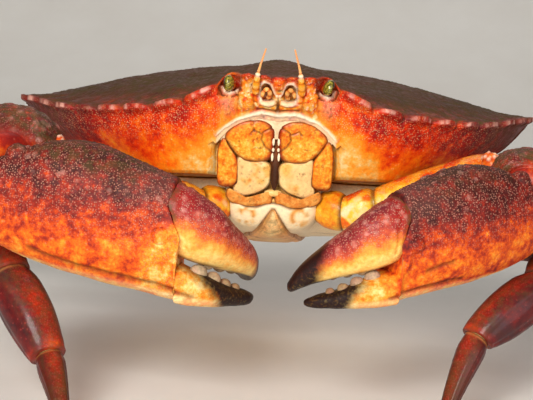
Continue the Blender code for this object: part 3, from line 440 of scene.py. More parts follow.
PURPLE_BROWN = srgb(78, 34, 36)
MAROON = srgb(112, 26, 30)
CRIMSON = srgb(158, 20, 12)
RED_ORANGE = srgb(214, 52, 8)
ORANGE = srgb(236, 104, 12)
AMBER = srgb(246, 158, 30)
YELLOW = srgb(252, 200, 60)
CREAM = srgb(250, 214, 140)
WHITE = srgb(255, 240, 210)
RIM_PINK = srgb(238, 176, 158)
ROSE = srgb(204, 84, 76)
SILT = srgb(50, 37, 14)
OLIVE = srgb(98, 86, 44)
BROWN = srgb(86, 42, 16)
DARK = srgb(26, 15, 12)
TAN = srgb(206, 140, 78)
GRAIN_SPACING = 0.6
# Marks on the shell in the order they are laid: the layer that carries each, its colour and its strength
SHELL_MARKS = (("red", CRIMSON, 0.85), ("white", WHITE, 0.9), ("rim", RIM_PINK, 0.9), ("tan", TAN, 0.8),
               ("brown", BROWN, 0.88), ("black", DARK, 1.0))


class Finish:
    """Builds one material of shader nodes, a step at a time."""

    def __init__(self, name, roughness, coat=0.0):
        """A material with its shader, as glossy as its roughness and clear coat say."""
        self.material = bpy.data.materials.new(name)
        self.material.use_nodes = True
        self.tree = self.material.node_tree
        self.shader = self.tree.nodes["Principled BSDF"]
        self.shader.inputs["Roughness"].default_value = roughness
        self.shader.inputs["Coat Weight"].default_value = coat
        self.shader.inputs["Coat Roughness"].default_value = 0.2
        self.shader.inputs["Specular IOR Level"].default_value = 0.18
        self.place = self.add("ShaderNodeTexCoord").outputs["Object"]

    def add(self, kind, inputs=None, **settings):
        """A node with its settings, and its inputs linked or set."""
        node = self.tree.nodes.new(kind)
        for key, value in settings.items():
            setattr(node, key, value)
        for key, value in (inputs or {}).items():
            self.feed(node.inputs[key], value)
        return node

    def feed(self, socket, value):
        """Links a socket to another, or sets its value."""
        if isinstance(value, bpy.types.NodeSocket):
            self.tree.links.new(value, socket)
        elif isinstance(value, tuple) and len(value) == 3 and socket.type == "RGBA":
            socket.default_value = (*value, 1.0)
        else:
            socket.default_value = value

    def layer(self, name):
        """A value that the mesh carries."""
        return self.add("ShaderNodeAttribute", attribute_name=name).outputs["Fac"]

    def noise(self, size, detail=3.0, roughness=0.6, distortion=0.0):
        """Cloudy noise from 0 to 1 with lumps about the size in millimetres."""
        inputs = {"Vector": self.place, "Scale": 1 / (size * MM), "Detail": detail,
                  "Roughness": roughness, "Distortion": distortion}
        return self.add("ShaderNodeTexNoise", inputs).outputs["Fac"]

    def cells(self, size):
        """The distance to the nearest of points scattered about the size apart."""
        inputs = {"Vector": self.place, "Scale": 1 / (size * MM), "Randomness": 0.75}
        return self.add("ShaderNodeTexVoronoi", inputs).outputs["Distance"]

    def math(self, operation, *values, clamp=False):
        """A sum, product or the like of two or three values."""
        node = self.add("ShaderNodeMath", operation=operation, use_clamp=clamp)
        for socket, value in zip(node.inputs, values):
            self.feed(socket, value)
        return node.outputs[0]

    def step(self, value, low, high):
        """0 where the value is below low, 1 above high, smooth between."""
        node = self.add("ShaderNodeMapRange", interpolation_type="SMOOTHSTEP")
        for key, number in (("Value", value), ("From Min", low), ("From Max", high)):
            self.feed(node.inputs[key], number)
        return node.outputs["Result"]

    def ramp(self, value, *stops):
        """The colours that a value from 0 to 1 runs through, as (place, colour) stops."""
        node = self.add("ShaderNodeValToRGB", {"Fac": value})
        elements = node.color_ramp.elements
        while len(elements) < len(stops):
            elements.new(0.5)
        for element, (place, colour) in zip(elements, stops):
            element.position = place
            element.color = (*colour, 1.0)
        return node.outputs["Color"]

    def mix(self, factor, a, b):
        """Colour a turning to b by the factor."""
        node = self.add("ShaderNodeMix", data_type="RGBA")
        for socket, value in ((node.inputs[0], factor), (node.inputs[6], a), (node.inputs[7], b)):
            self.feed(socket, value)
        return node.outputs[2]

    def bump(self, height, depth):
        """Relief from a height of 0 to 1 that stands up by the depth in millimetres."""
        inputs = {"Height": height, "Distance": depth * MM}
        if self.shader.inputs["Normal"].is_linked:
            inputs["Normal"] = self.shader.inputs["Normal"].links[0].from_socket
        self.feed(self.shader.inputs["Normal"], self.add("ShaderNodeBump", inputs).outputs["Normal"])

    def finish(self, colour, roughness=None):
        """Sets the colour, and the roughness where it varies; returns the material."""
        self.feed(self.shader.inputs["Base Color"], colour)
        if roughness is not None:
            self.feed(self.shader.inputs["Roughness"], roughness)
        return self.material


def shell_finish(name, base, grain, mottle, lumps=5.0, dark=PURPLE_BROWN, roughness=0.42, coat=0.1):
    """Hard shell: the warm layer picks colours from the base, then marks, granules, silt and fine relief."""
    f = Finish(name, roughness, coat)
    clouds, blotches, fine = f.noise(lumps, 6.0, 0.66), f.noise(lumps * 0.38, 5.0, 0.7), f.noise(0.7, 3.0)
    wander = f.math("MULTIPLY_ADD", clouds, 1.2 * mottle, -0.6 * mottle)
    wander = f.math("ADD", wander, f.math("MULTIPLY_ADD", blotches, mottle * 0.9, -mottle * 0.45))
    colour = f.ramp(f.math("ADD", f.layer("warm"), wander, clamp=True), *base)
    specks = f.math("MULTIPLY", f.step(f.cells(1.3), 0.3, 0.12), f.step(blotches, 0.45, 0.6))
    colour = f.mix(f.math("MULTIPLY", specks, 0.3), colour, grain)
    dots = f.math("MULTIPLY", f.layer("grain"), f.step(f.cells(GRAIN_SPACING), 0.46, 0.16))
    dim = f.mix(f.step(clouds, 0.35, 0.65), dark, f.mix(0.5, dark, SILT))
    colour = f.mix(f.math("MULTIPLY", f.layer("top"), 0.94), colour, dim)
    marks = [(f.layer(name), paint, strength) for name, paint, strength in SHELL_MARKS]
    marks.insert(1, (dots, grain, 0.58))
    for mark, paint, strength in marks:
        worn = f.math("MULTIPLY_ADD", fine, 0.5, strength - 0.25)
        colour = f.mix(f.math("MULTIPLY", mark, worn, clamp=True), colour, paint)
    settled = f.math("MULTIPLY", f.layer("silt"), f.step(f.noise(2.2, 6.0, 0.72), 0.4, 0.58))
    colour = f.mix(f.math("MULTIPLY", settled, 0.8), colour, f.mix(fine, SILT, OLIVE))
    colour = f.mix(f.math("MULTIPLY", f.step(fine, 0.35, 0.75), 0.35), colour, f.mix(0.5, colour, dark))
    matt = f.math("MULTIPLY_ADD", fine, 0.2, roughness - 0.1)
    matt = f.math("ADD", matt, f.math("MULTIPLY", settled, 0.35))
    f.bump(fine, 0.05)
    f.bump(dots, 0.15)
    return f.finish(colour, matt)


# Carapace

def side_arc():
    """The side of the carapace from the eye to the tip, a full curve between the two."""
    angle = np.linspace(0, math.pi / 2, 241)
    width, depth = HALF_WIDTH - SIDE_CORNER[0], -SIDE_CORNER[1]
    power = 2 / SIDE_FULLNESS
    across, ahead = np.sin(angle) ** power, np.maximum(np.cos(angle), 0) ** power
    return np.stack((SIDE_CORNER[0] + width * across, -depth * ahead), axis=-1)


def along_curve(points, fractions):
    """Points at fractions of the length of a run of points."""
    lengths = np.concatenate(([0], np.cumsum(np.linalg.norm(np.diff(points, axis=0), axis=1))))
    return [np.interp(fractions * lengths[-1], lengths, points[:, k]) for k in range(points.shape[1])]


def bezier(a, b, c, t):
    """Points of the curve from a to c that b draws out."""
    t = np.asarray(t)[..., None]
    return np.asarray(a) * (1 - t) ** 2 + np.asarray(b) * 2 * t * (1 - t) + np.asarray(c) * t * t


def margin(stretch, f):
    """The smooth edge of the carapace along a stretch, and how far its teeth stand out there."""
    none = np.zeros_like(f)
    if stretch == "front":
        x = FRONT_HALF * f
        tooth = np.abs(np.cos(math.pi * x / FRONT_TOOTH_PITCH)) ** 0.7
        return np.stack((x, none - SHELL_FRONT, 6.3 + 0.07 * x), axis=-1), tooth
    if stretch == "orbit":
        x = FRONT_HALF + (ORBIT_END - FRONT_HALF) * f
        y = -SHELL_FRONT + (SIDE_CORNER[1] + SHELL_FRONT) * f
        return np.stack((x, y, 7.0 + 1.4 * np.sin(math.pi * f) - 3.0 * f**3), axis=-1), none
    if stretch == "side":
        x, y = along_curve(side_arc(), f)
        tooth = np.abs(np.sin(math.pi * SIDE_TEETH * f)) ** 0.6
        return np.stack((x, y, curve(MARGIN_HEIGHTS, x)), axis=-1), tooth
    if stretch == "back_side":
        x, y = bezier((HALF_WIDTH, 0.0), (62.0, 26.0), (REAR_HALF, REAR_CORNER), f).T
        return np.stack((x, y, 3.2 - 8.2 * ease(-0.3, 1.1, f)), axis=-1), none
    y = REAR_CORNER + (SHELL_REAR - REAR_CORNER) * np.sin(math.pi / 2 * f)
    return np.stack((REAR_HALF * (1 - f), y, -5.0 - 0.5 * f), axis=-1), none


def toothed(stretch, f):
    """The carapace edge with its teeth, and its set-back above the eye."""
    place, lobe = margin(stretch, f)
    none = np.zeros_like(f)
    if stretch == "front":
        return place + np.stack((none, -FRONT_TOOTH_LENGTH * lobe, 0.3 * lobe), axis=-1)
    if stretch == "orbit":
        return place + np.stack((none, ORBIT_SETBACK * np.sin(math.pi * f) ** 0.7, none), axis=-1)
    if stretch == "side":
        away = unit((place - CREST) * (1, 1, 0))
        place = place + away * (SIDE_TOOTH_LENGTH * (lobe - 0.4))[:, None]
        return place + np.stack((none, none, SIDE_TOOTH_LIFT * lobe), axis=-1)
    return place


def dorsal(stretch, f, steps):
    """Rows of the carapace top, from the crest at 0 to the edge at 1."""
    s = steps[:, None, None]
    smooth = margin(stretch, f)[0]
    place = smooth + (toothed(stretch, f) - smooth) * ease(0.86, 1.0, s)
    xy = CREST[:2] + (place[..., :2] - CREST[:2]) * s
    s, rise = s[..., 0], place[..., 2]
    broad = curve(BROAD_HEIGHTS, place[..., 0]) if stretch in ("front", "orbit", "side") else rise
    z = CREST[2] + (broad - CREST[2]) * s**1.6 + (rise - broad) * ease(0.8, 1.0, s)
    x, y = np.moveaxis(xy, -1, 0)
    domes = sum(h * np.exp(-((x - cx) ** 2 + (y - cy) ** 2) / r**2) for cx, cy, r, h in REGIONS)
    return np.stack((x, y, z + domes * (1 - ease(0.75, 1.0, s))), axis=-1)


def mouth_surface(z, behind=0.0):
    """The y of the mouthparts' outer plane at a shell height, or a distance behind it."""
    return MOUTH_PLANE_Y + MOUTH_PLANE_SLOPE * (MOUTH_PLANE_Z - z) + behind


def front_face(stretch, f):
    """Control rows of the face above and behind the mouth: hollow or eye socket, rim, recess."""
    edge = toothed(stretch, f)
    x = edge[:, 0]
    rim = curve(RIM_HEIGHTS, x)
    hollow = hump(x - FOSSA_X, 2.2)
    socket = np.sin(math.pi * f) ** 0.5 if stretch == "orbit" else 0.0
    outer = ease(8.0, 12.5, x)
    below_eye = 1.6 - 0.33 * (x - FRONT_HALF)
    line = [
        (edge[:, 1] + 1.6, edge[:, 2] - 1.9 + outer),
        (FACE_Y + 2.4 * hollow + 4.4 * socket, 2.8 + 1.8 * outer),
        (FACE_Y + 1.6 * hollow + 4.2 * socket, 0.8 + 1.8 * outer),
        (FACE_Y - 0.8 * (1 - outer), -0.6 * (1 - outer) + below_eye * outer),
        (mouth_surface(rim), rim),
        (mouth_surface(rim, 1.2), rim - 0.8),
        (mouth_surface(rim, MOUTH_RECESS), rim - 1.0),
        (mouth_surface(UNDER_HEIGHT, MOUTH_RECESS), UNDER_HEIGHT),
    ]
    return np.array([np.stack(np.broadcast_arrays(x, y, z), axis=-1) for y, z in line])


# How far in from the edge each control row of the under side lies, first away from the cheek, then at it
FACE_STEPS = (0.0, 0.22, 0.36, 0.5, 0.64, 0.78, 0.9, 1.0)
CHEEK_STEPS = (0.0, 0.05, 0.1, 0.16, 0.53, 0.58, 0.64, 1.0)


def side_face(stretch, f):
    """Control rows of the under side of the carapace, from its edge in to the rim at the leg bases."""
    start = margin(stretch, f)[0] * (0.985, 0.985, 1) - (0, 0, EDGE_THICKNESS)
    if stretch == "side":
        x, y = bezier((19.0, -46.5), (45.0, -46.0), (44.5, 0.0), f).T
    elif stretch == "back_side":
        x, y = bezier((44.5, 0.0), (43.0, 26.0), (24.0, 34.0), f).T
    else:
        x, y = 24.0 * (1 - f), 34.0 + 2.0 * np.sin(math.pi / 2 * f)
    rim = np.stack(np.broadcast_arrays(x, y, UNDER_HEIGHT), axis=-1)
    cheek = 1 - ease(0.0, 0.12, f) if stretch == "side" else 0.0 * f
    tuck = {"side": 0.0 * f, "back_side": ease(0.6, 1.0, f), "rear": 1.0 + 0.0 * f}[stretch]
    draw = start + (rim - start) * (0.25 + 0.25 * cheek + 0.7 * tuck)[:, None]
    draw[:, 2] = -11.0 + 2.2 * cheek + 3.0 * tuck
    far, near = np.array(FACE_STEPS)[:, None], np.array(CHEEK_STEPS)[:, None]
    return bezier(start, draw, rim, far + (near - far) * cheek)


# Each stretch of the edge, its columns, and whether it also takes the one at its end
CARAPACE_COLUMNS = (("front", 44, 0), ("orbit", 30, 0), ("side", 333, 0), ("back_side", 70, 0),
                    ("rear", 30, 1))
# The first row of the top, as a share of the way from the crest to the edge
CREST_START = 0.012
DORSAL_ROWS = 140
# Rows between one control row of the under side and the next, from the edge down
UNDER_ROWS = (8, 8, 8, 9, 16, 8, 8, 20)

# Lines on the face as (distance from the middle, height)
BUCCAL_ARCH = ((0, -3.2), (4.5, -2.6), (8.2, -3.5), (11.8, -4.9), (14.5, -6.9), (17, -9.2),
               (19, -11.4))
# The pale plate between the arch over the mouth and the mouthparts under it
LIP_HALF = ((0, -3.8), (4.5, -3.2), (8.2, -4.0), (11.8, -5.5), (14.5, -7.7), (16.2, -10.2),
            (9.0, -11.5), (0, -9.6))
LIP_PLATE = LIP_HALF + tuple((-x, z) for x, z in LIP_HALF[-2:0:-1])
ORBIT_LIP = ((11.4, 3.4), (12.3, 2.3), (13.8, 1.7), (15.2, 2.3), (16.1, 4.2))
FOSSA_ARCH = ((0.3, 2.0), (1.1, 3.6), (2.6, 5.1), (4.0, 5.5), (5.1, 4.4), (5.4, 2.0), (5.0, 0.4))
BASE_SEAMS = (((6.6, 5.2), (6.9, 1.5), (6.6, -2.4)), ((11.6, 5.0), (11.3, 1.5), (11.6, -3.4)))
EPISTOME_LINES = (((0.4, -0.9), (2.6, -1.2), (5.4, -0.6), (6.6, 0.6)),
                  ((0.3, -2.2), (3.2, -1.9), (6.6, -1.8)))
# Grooves on the top as (distance from the middle, y)
TOP_GROOVES = (((5, -24), (12, -13), (17, 0), (12, 12), (4, 17)), ((17, -2), (28, 2), (40, -8), (50, -22)),
               ((15, 10), (28, 16), (42, 19)), ((14, -44), (19, -33), (27, -27)))


def face_marks(points, under):
    """Relief and marks of the face, from the middle out to the eye sockets' lower lips."""
    x, z = np.abs(points[..., 0]), points[..., 2]
    places = np.stack((x + 0.35 * rough(points, 3.0, 41), z + 0.25 * rough(points, 2.5, 42)), axis=-1)
    here = under * (1 - ease(-50.0, -46.0, points[..., 1]))
    central = here * (1 - ease(10.5, 13.0, x))
    arch, lip, fossa = (away_from(places, line) for line in (BUCCAL_ARCH, ORBIT_LIP, FOSSA_ARCH))
    seam, line = (np.min([away_from(places, each) for each in group], axis=0)
                  for group in (BASE_SEAMS, EPISTOME_LINES))
    broad = 0.5 - 0.18 * ease(7.0, 12.0, x)
    below = here * ease(-0.2, -0.6, z - curve(BUCCAL_ARCH, np.minimum(x, 17.0))) * ease(17.2, 16.6, x)
    specks = ease(0.35, 0.8, rough(points, 1.1, 43)) * ease(0.5, 1.2, arch) * ease(0.3, 0.8, fossa)
    hollow = central * hump(np.hypot(x - FOSSA_X, (z - 3.2) * 0.8), 1.45)
    slit = central * hump(x - 0.1, 0.3) * ease(-3.2, -2.4, z) * (1 - ease(1.2, 2.0, z))
    plate = central * ease(1.15, 0.75, np.hypot((x - 3.0) / 2.5, (z - 0.1) / 1.2))
    base = central * ease(1.1, 0.6, np.hypot((x - 9.0) / 2.4, (z - 1.2) / 3.8))
    septum = central * ease(1.2, 0.5, np.hypot(x / 1.5, (z - 4.4) / 2.0))
    broken = 0.5 + 0.5 * ease(-0.3, 0.5, rough(points, 1.5, 45))
    lines = central * np.maximum(hump(seam, 0.26) * broken, hump(line, 0.2))
    patch = hump(np.hypot(x - 14.4, (z + 1.6) * 0.6), 1.8) * ease(0.4, 1.0, lip)
    beads = grains(points, 1.05, 46)
    socket = here * ease(9.8, 10.6, x) * (1 - ease(12.2, 13.2, x)) * ease(2.8, 4.0, z)
    grainy = here * (1 - plate) * ease(0.3, 0.9, seam) * ease(1.0, 2.0, arch) * ease(0.5, 1.2, fossa)
    height = (here * (0.6 * hump(arch, broad * 0.8) + 0.9 * hump(lip, 0.42))
              + central * 0.75 * hump(fossa, 0.34) + 0.5 * plate + 0.5 * base + 0.7 * septum
              - 1.5 * hollow - slit - 0.25 * lines
              + 0.2 * central * rough(points, 1.3, 44) + 0.3 * central * grainy * beads)
    marks = {
        "white": np.clip(here * (1.2 * hump(arch, broad) * ease(17.5, 16.4, x) + 1.3 * hump(lip, 0.36))
                         + central * 1.3 * hump(fossa, 0.36) + 0.6 * plate + 0.55 * below
                         + 0.45 * central * grainy * ease(0.4, 0.9, beads), 0, 1),
        # hollow: the hollows where the antennules fold are painted dark brown as shade
        "brown": np.clip(lines * 0.45 + hollow * 0.95 + slit * 1.2
                         + 1.1 * here * hump(lip - 0.85, 0.25) * (z > 1.2)
                         + 0.7 * central * hump(z - curve(BUCCAL_ARCH, x) - 0.9, 0.25) * (x < 6)
                         + 0.6 * central * specks
                         + 0.8 * here * ease(0.35, 0.8, grains(points, 1.15, 31)) * patch, 0, 1),
        "red": np.clip(socket * 1.2 + here * 0.9 * hump(np.hypot(x - 14.0, (z + 1.4) * 0.7), 1.7)
                       * grains(points, 1.7, 31) ** 0.5 + 0.5 * central * hump(seam, 0.5), 0, 1),
        "rim": 0.3 * here * hump(np.hypot(x - 14.2, (z + 0.6) * 0.7), 1.9) * ease(0.4, 1.0, lip),
    }
    return height, marks, grainy, central


def softened(rings, widths):
    """Closed rings smoothed along themselves, each over its own width in places."""
    waves = np.fft.rfftfreq(rings.shape[1])
    keep = np.exp(-2 * (math.pi * widths[:, None] * waves) ** 2)
    return np.fft.irfft(np.fft.rfft(rings, axis=1) * keep[..., None], rings.shape[1], axis=1)


def carapace_grid():
    """The carapace as rings in the shell frame, the teeth along them, and how far under each row is."""
    steps = np.linspace(CREST_START, 1.0, DORSAL_ROWS)
    places = np.concatenate([np.arange(1, n + 1) / n + k for k, n in enumerate(UNDER_ROWS)])
    halves = []
    for stretch, count, with_last in CARAPACE_COLUMNS:
        f = np.arange(count + with_last) / count
        lines = front_face(stretch, f) if stretch in ("front", "orbit") else side_face(stretch, f)
        under = smooth_rows(np.concatenate((toothed(stretch, f)[None], lines)), places)
        halves.append(np.concatenate((dorsal(stretch, f, steps), under)))
    half = np.concatenate(halves, axis=1)
    rings = np.concatenate((half, half[:, -2:0:-1] * (-1, 1, 1)), axis=1)
    rings[:DORSAL_ROWS] = softened(rings[:DORSAL_ROWS], 24 * (1 - ease(0.5, 0.93, steps)))
    lobes = np.concatenate([margin(s, np.arange(n + e) / n)[1] for s, n, e in CARAPACE_COLUMNS])
    down = np.concatenate((np.zeros(DORSAL_ROWS), places))[:, None]
    return rings, np.concatenate((lobes, lobes[-2:0:-1])), down


def build_carapace():
    """The shell with its granules, grooves, toothed rim, face and cheeks."""
    rings, lobes, down = carapace_grid()
    drop = rings[DORSAL_ROWS - 1, :, 2] - rings[..., 2]
    x, y, z = np.abs(rings[..., 0]), rings[..., 1], rings[..., 2]
    under = ease(0.0, 0.6, down)
    top_steps = np.linspace(CREST_START, 1.0, DORSAL_ROWS)
    s = np.concatenate((top_steps, np.ones(len(down) - DORSAL_ROWS)))[:, None]
    fine, coarse = grains(rings, 1.15, 3), grains(rings, 3.4, 5)
    beside_eye = x > ORBIT_END
    edge = hump(down - 0.3, 0.4) * ease(0.985, 1.0, s) * (y < 8)
    lobe = edge * beside_eye * ease(0.35, 0.8, lobes)
    gap = edge * beside_eye * (1 - ease(0.0, 0.4, lobes))
    crown = hump(down - 0.1, 0.16) * ease(0.993, 1.0, s) * (y < 8) * ease(0.5, 0.9, lobes) * beside_eye
    crown = crown * ease(-0.5, 0.4, rough(rings, 1.3, 51)) * ease(-0.9, 0.3, rough(rings, 6.0, 54))
    front = edge * (x < ORBIT_END)
    height = 0.16 * fine + 0.22 * coarse * ease(0.45, 0.9, s) * (1 - under) + 0.25 * rough(rings, 7.0, 1)
    groove = sum(hump(away_from(np.stack((x, y), axis=-1), line), 1.7) for line in TOP_GROOVES)
    height = height - 0.5 * np.minimum(groove, 1.2) * (1 - under)
    face_height, marks, grainy, central = face_marks(rings, under)
    bare = 1 - under * ease(-13.0, -6.0, z) * (1 - ease(62.0, 74.0, x)) * np.maximum(grainy, x > 17)
    cheek_height = 0.18 * fine * (1 - bare) + 0.18 * rough(rings, 4.0, 2) * (1 - central)
    height = np.where(under > 0.5, cheek_height, height) + 0.6 * lobe + 0.2 * edge - 0.4 * gap
    grid = stand(raised(rings, height + face_height))
    cheek = 0.24 + 0.52 * ease(3.0, 20.0, drop + 3 * rough(rings, 9.0, 7)) + 0.14 * (1 - ease(15.0, 34.0, x))
    # Painted shade: the under side turns darker red towards its far sides
    cheek = cheek - 0.34 * ease(44.0, 72.0, x)
    face = 0.7 + 0.25 * rough(rings, 2.2, 6) + 0.45 * rough(rings, 0.9, 16)
    face = face - 0.2 * ease(4.2, 5.6, z) * ease(0.8, 2.0, x)
    near_edge = ease(0.965, 0.985, s + 0.006 * rough(rings, 3.0, 52))
    marks.update({
        "top": (1 - under) * (1 - edge) * (1 - 0.3 * ease(0.8, 0.95, s) - 0.5 * near_edge),
        "warm": cheek + (face - cheek) * central,
        "red": np.clip(marks["red"] + front * (0.4 + 0.6 * rough(rings, 1.4, 53)) * ease(0.8, 2.0, x)
                       + 0.35 * lobe, 0, 1),
        "grain": np.clip(0.7 * (1 - bare) * (1 - 0.7 * ease(6.0, 16.0, drop) * (1 - central))
                         + 0.12 * (1 - under) + 0.3 * lobe + 0.5 * front, 0, 1),
        "rim": np.clip(marks["rim"] + 1.3 * crown**1.5, 0, 1),
        "silt": np.maximum((1 - under) * (1 - 0.9 * edge) * (0.75 + 0.5 * rough(rings, 9.0, 8)),
                           0.6 * under * ease(56.0, 72.0, x)),
        # brown: a band along the bottom rim where it meets the leg bases, a dark seam that is mostly painted
        # shade in the gap
        "brown": np.clip(marks["brown"] + 0.6 * ease(-18.9, -19.6, z) * (x > 17) * (y < 10)
                         + 0.6 * gap, 0, 1),
    })
    finish = shell_finish("shell", ((0.0, MAROON), (0.18, CRIMSON), (0.34, RED_ORANGE), (0.52, ORANGE),
                                    (0.66, srgb(238, 132, 20)), (0.8, srgb(238, 152, 44)),
                                    (0.92, srgb(230, 174, 88)), (1.0, srgb(232, 196, 130))),
                          grain=srgb(250, 196, 140), mottle=0.8, lumps=6.0, dark=srgb(62, 27, 20), coat=0.0)
    lip = plate_grid(LIP_PLATE, 1, -0.7, 0.0)[0]
    lip = raised(stand(lip), 0.15 * rough(lip, 1.5, 3))
    lip_marks = {"warm": 1.0, "white": 0.6, "silt": 0.3 * ease(-0.2, 0.5, rough(lip, 2.0, 2))}
    make_piece("carapace_fine", finish, [(grid, marks), (lip, lip_marks)], "carapace")


# Breast, tail and mouthparts

def closed_curve(outline, places):
    """Points spaced along a smooth closed curve through an outline."""
    outline = np.asarray(outline, float)
    count = outline.shape[-2]
    t = np.arange(places) * count / places
    i = t.astype(int)
    t = (t - i)[:, None]
    before, a, b, after = (outline[..., (i + k) % count, :] for k in (-1, 0, 1, 2))
    return hermite(a, b, (b - before) / 2, (after - a) / 2, t)


# Seams on the front of the breast as (distance from the middle, height), and those along the tail's path
BREAST_SEAM = ((0, -27.4), (1.8, -27.7), (5.0, -28.8), (8.2, -28.6), (11.4, -26.5))
TELSON_SEAM = ((0.2, -29.2), (1.8, -31.4), (4.2, -34.8), (5.6, -36.0))
TAIL_PLACES = (1.5, 3.2, 4.6, 6.2, 8.3)


def joint_normals(joints):
    """The normal of each joint's plane, halfway between the segments there; the foot's is upright."""
    ways = unit(np.diff(np.asarray(joints, float), axis=0))
    return [ways[0], *unit(ways[:-1] + ways[1:]), -UP]


def stout_profile(name, part):
    """A leg segment's profile at the size of the named leg."""
    stout = LEG_STOUTNESS[name[-1]]
    thick = stout * (FIRST_LEG_THICKNESS[part] if name[-1] == "1" else 1.0)
    return [(t, half_width * thick, half_height * stout) for t, half_width, half_height in LEG_PROFILES[part]]


def base_grid(name):
    """The base of a walking leg, out of the breast."""
    outer, knee = (np.array(p) for p in LEG_REACH[name][:2])
    along = unit(knee - outer)
    inner = np.array((outer[0] * 0.62, outer[1] + (6.0 if name[-1] == "1" else 0.0), outer[2] - 1.0))
    rings = segment(inner, outer - along * JOINT_GAP, along, along, UP, stout_profile(name, "base"), 90)
    grid = smooth_rows(rings, np.linspace(0, 2, 40))
    t = np.linspace(0, 1, 40)[:, None]
    marks = {"warm": 0.72 + 0.1 * rough(grid, 3.0, 4),
             "brown": np.maximum(hump(t - 0.62, 0.03), hump(t - 1, 0.05)),
             "tan": 0.5 * ease(0.5, 1.0, t) * ease(0.0, 0.6, rough(grid, 4.0, 9))}
    return raised(grid, 0.25 * rough(grid, 5.0, 7) - 0.5 * hump(t - 0.62, 0.03)), marks


def build_thorax():
    """The breast's plates with their seams, and the bases of the walking legs."""
    half = np.array([(x, y, 0.0) for x, y in THORAX_HALF])
    rings = []
    for z, scale, foremost in THORAX_LEVELS:
        drop = np.where(half[:, 1] > -30, scale, 1 - (1 - scale) * 0.5)
        y = np.maximum(THORAX_CENTRE_Y + (half[:, 1] - THORAX_CENTRE_Y) * drop, foremost)
        side = np.stack((half[:, 0] * scale, y, np.full(len(half), z)), axis=-1)
        rings.append(np.concatenate((side, side[-2:0:-1] * (-1, 1, 1))))
    places = np.concatenate((np.linspace(0, 2, 18), np.linspace(2.08, 6, 60)))
    shell = closed_curve(smooth_rows(rings, places), 380)
    shrink = np.linspace(0.94, 0.04, 16)[:, None, None]
    middle = shell[-1].mean(axis=0)
    shell = np.concatenate((shell, middle + (shell[-1] - middle) * shrink - (0, 0, 0.25)))
    x, y, z = np.abs(shell[..., 0]), shell[..., 1], shell[..., 2]
    ahead = 1 - ease(-40.0, -37.0, y)
    across = np.abs((y + 37.0 - 0.35 * x + 6.0) % 12.0 - 6.0)
    front_places = np.stack((x, z), axis=-1)
    plates = np.minimum(away_from(front_places, BREAST_SEAM), away_from(front_places, TELSON_SEAM))
    seam = np.maximum(hump(plates, 0.35) * ahead, hump(across, 0.4) * (1 - ahead) * ease(10.0, 13.0, x))
    band = ahead * ease(-0.4, 0.4, z - curve(BREAST_SEAM, x))
    patches = hump(np.hypot(x - 7.5, z + 31.0) - 2.0, 0.9) * ahead * ease(-0.5, 0.2, rough(shell, 1.6, 12))
    height = 0.12 * rough(shell, 3.0, 5) - 0.55 * seam + 0.5 * (1 - band) * ahead
    marks = {"warm": 0.97 - 0.35 * band - 0.55 * patches, "white": 0.7 * (1 - band) * (1 - patches),
             "tan": 0.5 * band * ease(-0.2, 0.5, rough(shell, 3.0, 14)),
             "brown": np.clip(seam + 0.35 * patches * ease(0.2, 0.8, rough(shell, 0.9, 15))
                              + 0.7 * ahead * ease(12.2, 13.0, x), 0, 1)}
    finish = shell_finish("breast", ((0.0, ORANGE), (0.35, srgb(222, 142, 60)), (0.65, srgb(240, 184, 96)),
                                     (1.0, CREAM)), grain=CREAM, mottle=0.35, lumps=4.0, roughness=0.45)
    skins = [(stand(raised(shell, height)), marks)] + [base_grid(name) for name in LEG_REACH]
    make_piece("breast", finish, skins, "thorax")


def build_tail():
    """The abdomen folded forward under the breast, in its segments."""
    path = np.array(TAIL_PATH)
    places = np.linspace(0, len(path) - 1, 190)
    spine = smooth_rows(np.column_stack((0 * path[:, 0], path[:, :2])), places)
    half_width = smooth_rows(path[:, 2:], places)[:, 0]
    ends = ease(0.0, 0.5, places) * (1 - ease(10.6, 11.0, places))
    way = unit(np.gradient(spine, axis=0))
    grid = np.array([ring(c, a, np.cross(a, (1, 0, 0)), h, TAIL_HALF_THICK * (0.5 + 0.5 * e), 110, 3.2)
                     for c, a, h, e in zip(spine, way, half_width, ends)])
    seam = sum(hump(places - p, 0.07) for p in TAIL_PLACES)[:, None]
    side = np.abs(grid[..., 0]) / half_width[:, None]
    height = 0.1 * rough(grid, 3.0, 3) - 0.5 * seam - 0.25 * hump(side - 0.72, 0.09)
    marks = {"warm": 0.9 - 0.3 * side, "brown": np.clip(seam + 0.5 * ease(0.93, 1.0, side), 0, 1),
             "tan": 0.8 * ease(0.0, 0.5, rough(grid, 4.0, 5)), "white": 0.2,
             # silt: the tail's tip is painted olive, partly silt and partly painted shade under the
             # mouthparts
             "silt": 0.6 * ease(9.2, 9.8, places)[:, None]}
    finish = shell_finish("tail", ((0.0, TAN), (0.6, AMBER), (1.0, CREAM)), grain=CREAM, mottle=0.4,
                          lumps=4.0, roughness=0.45)
    make_piece("tail", finish, [(stand(raised(grid, height)), marks)], "abdomen")


def plate_grid(outline, side, swell, grow):
    """A plate over the mouth as rings from its back to its domed front, and how far in each ring lies."""
    outline = closed_curve(outline, 170)
    middle = outline.mean(axis=0)
    way = unit(np.roll(outline, -1, axis=0) - np.roll(outline, 1, axis=0))
    away = np.stack((way[:, 1], -way[:, 0]), axis=-1)
    outline = outline + away * grow * np.sign(np.sum(away * (outline - middle)))
    scales = np.concatenate(([0.97, 1.0, 1.0], 1 - 0.98 * np.linspace(0, 1, 46) ** 1.4))
    front = 0.7 - (0.7 + swell) * np.clip(1 - scales[3:] ** 5, 0, 1) ** 0.5
    behind = np.concatenate(([PLATE_THICKNESS, PLATE_THICKNESS * 0.6, 1.0], front))
    x, z = np.moveaxis(middle + (outline - middle) * scales[:, None, None], -1, 0)
    return np.stack((x * side, mouth_surface(z, behind[:, None]), z), axis=-1), scales[:, None]


# Stance heights of the mouth's slit beside its shell heights
SLIT_HEIGHTS = ((54.0, 74.0), (-24.0, -5.0))
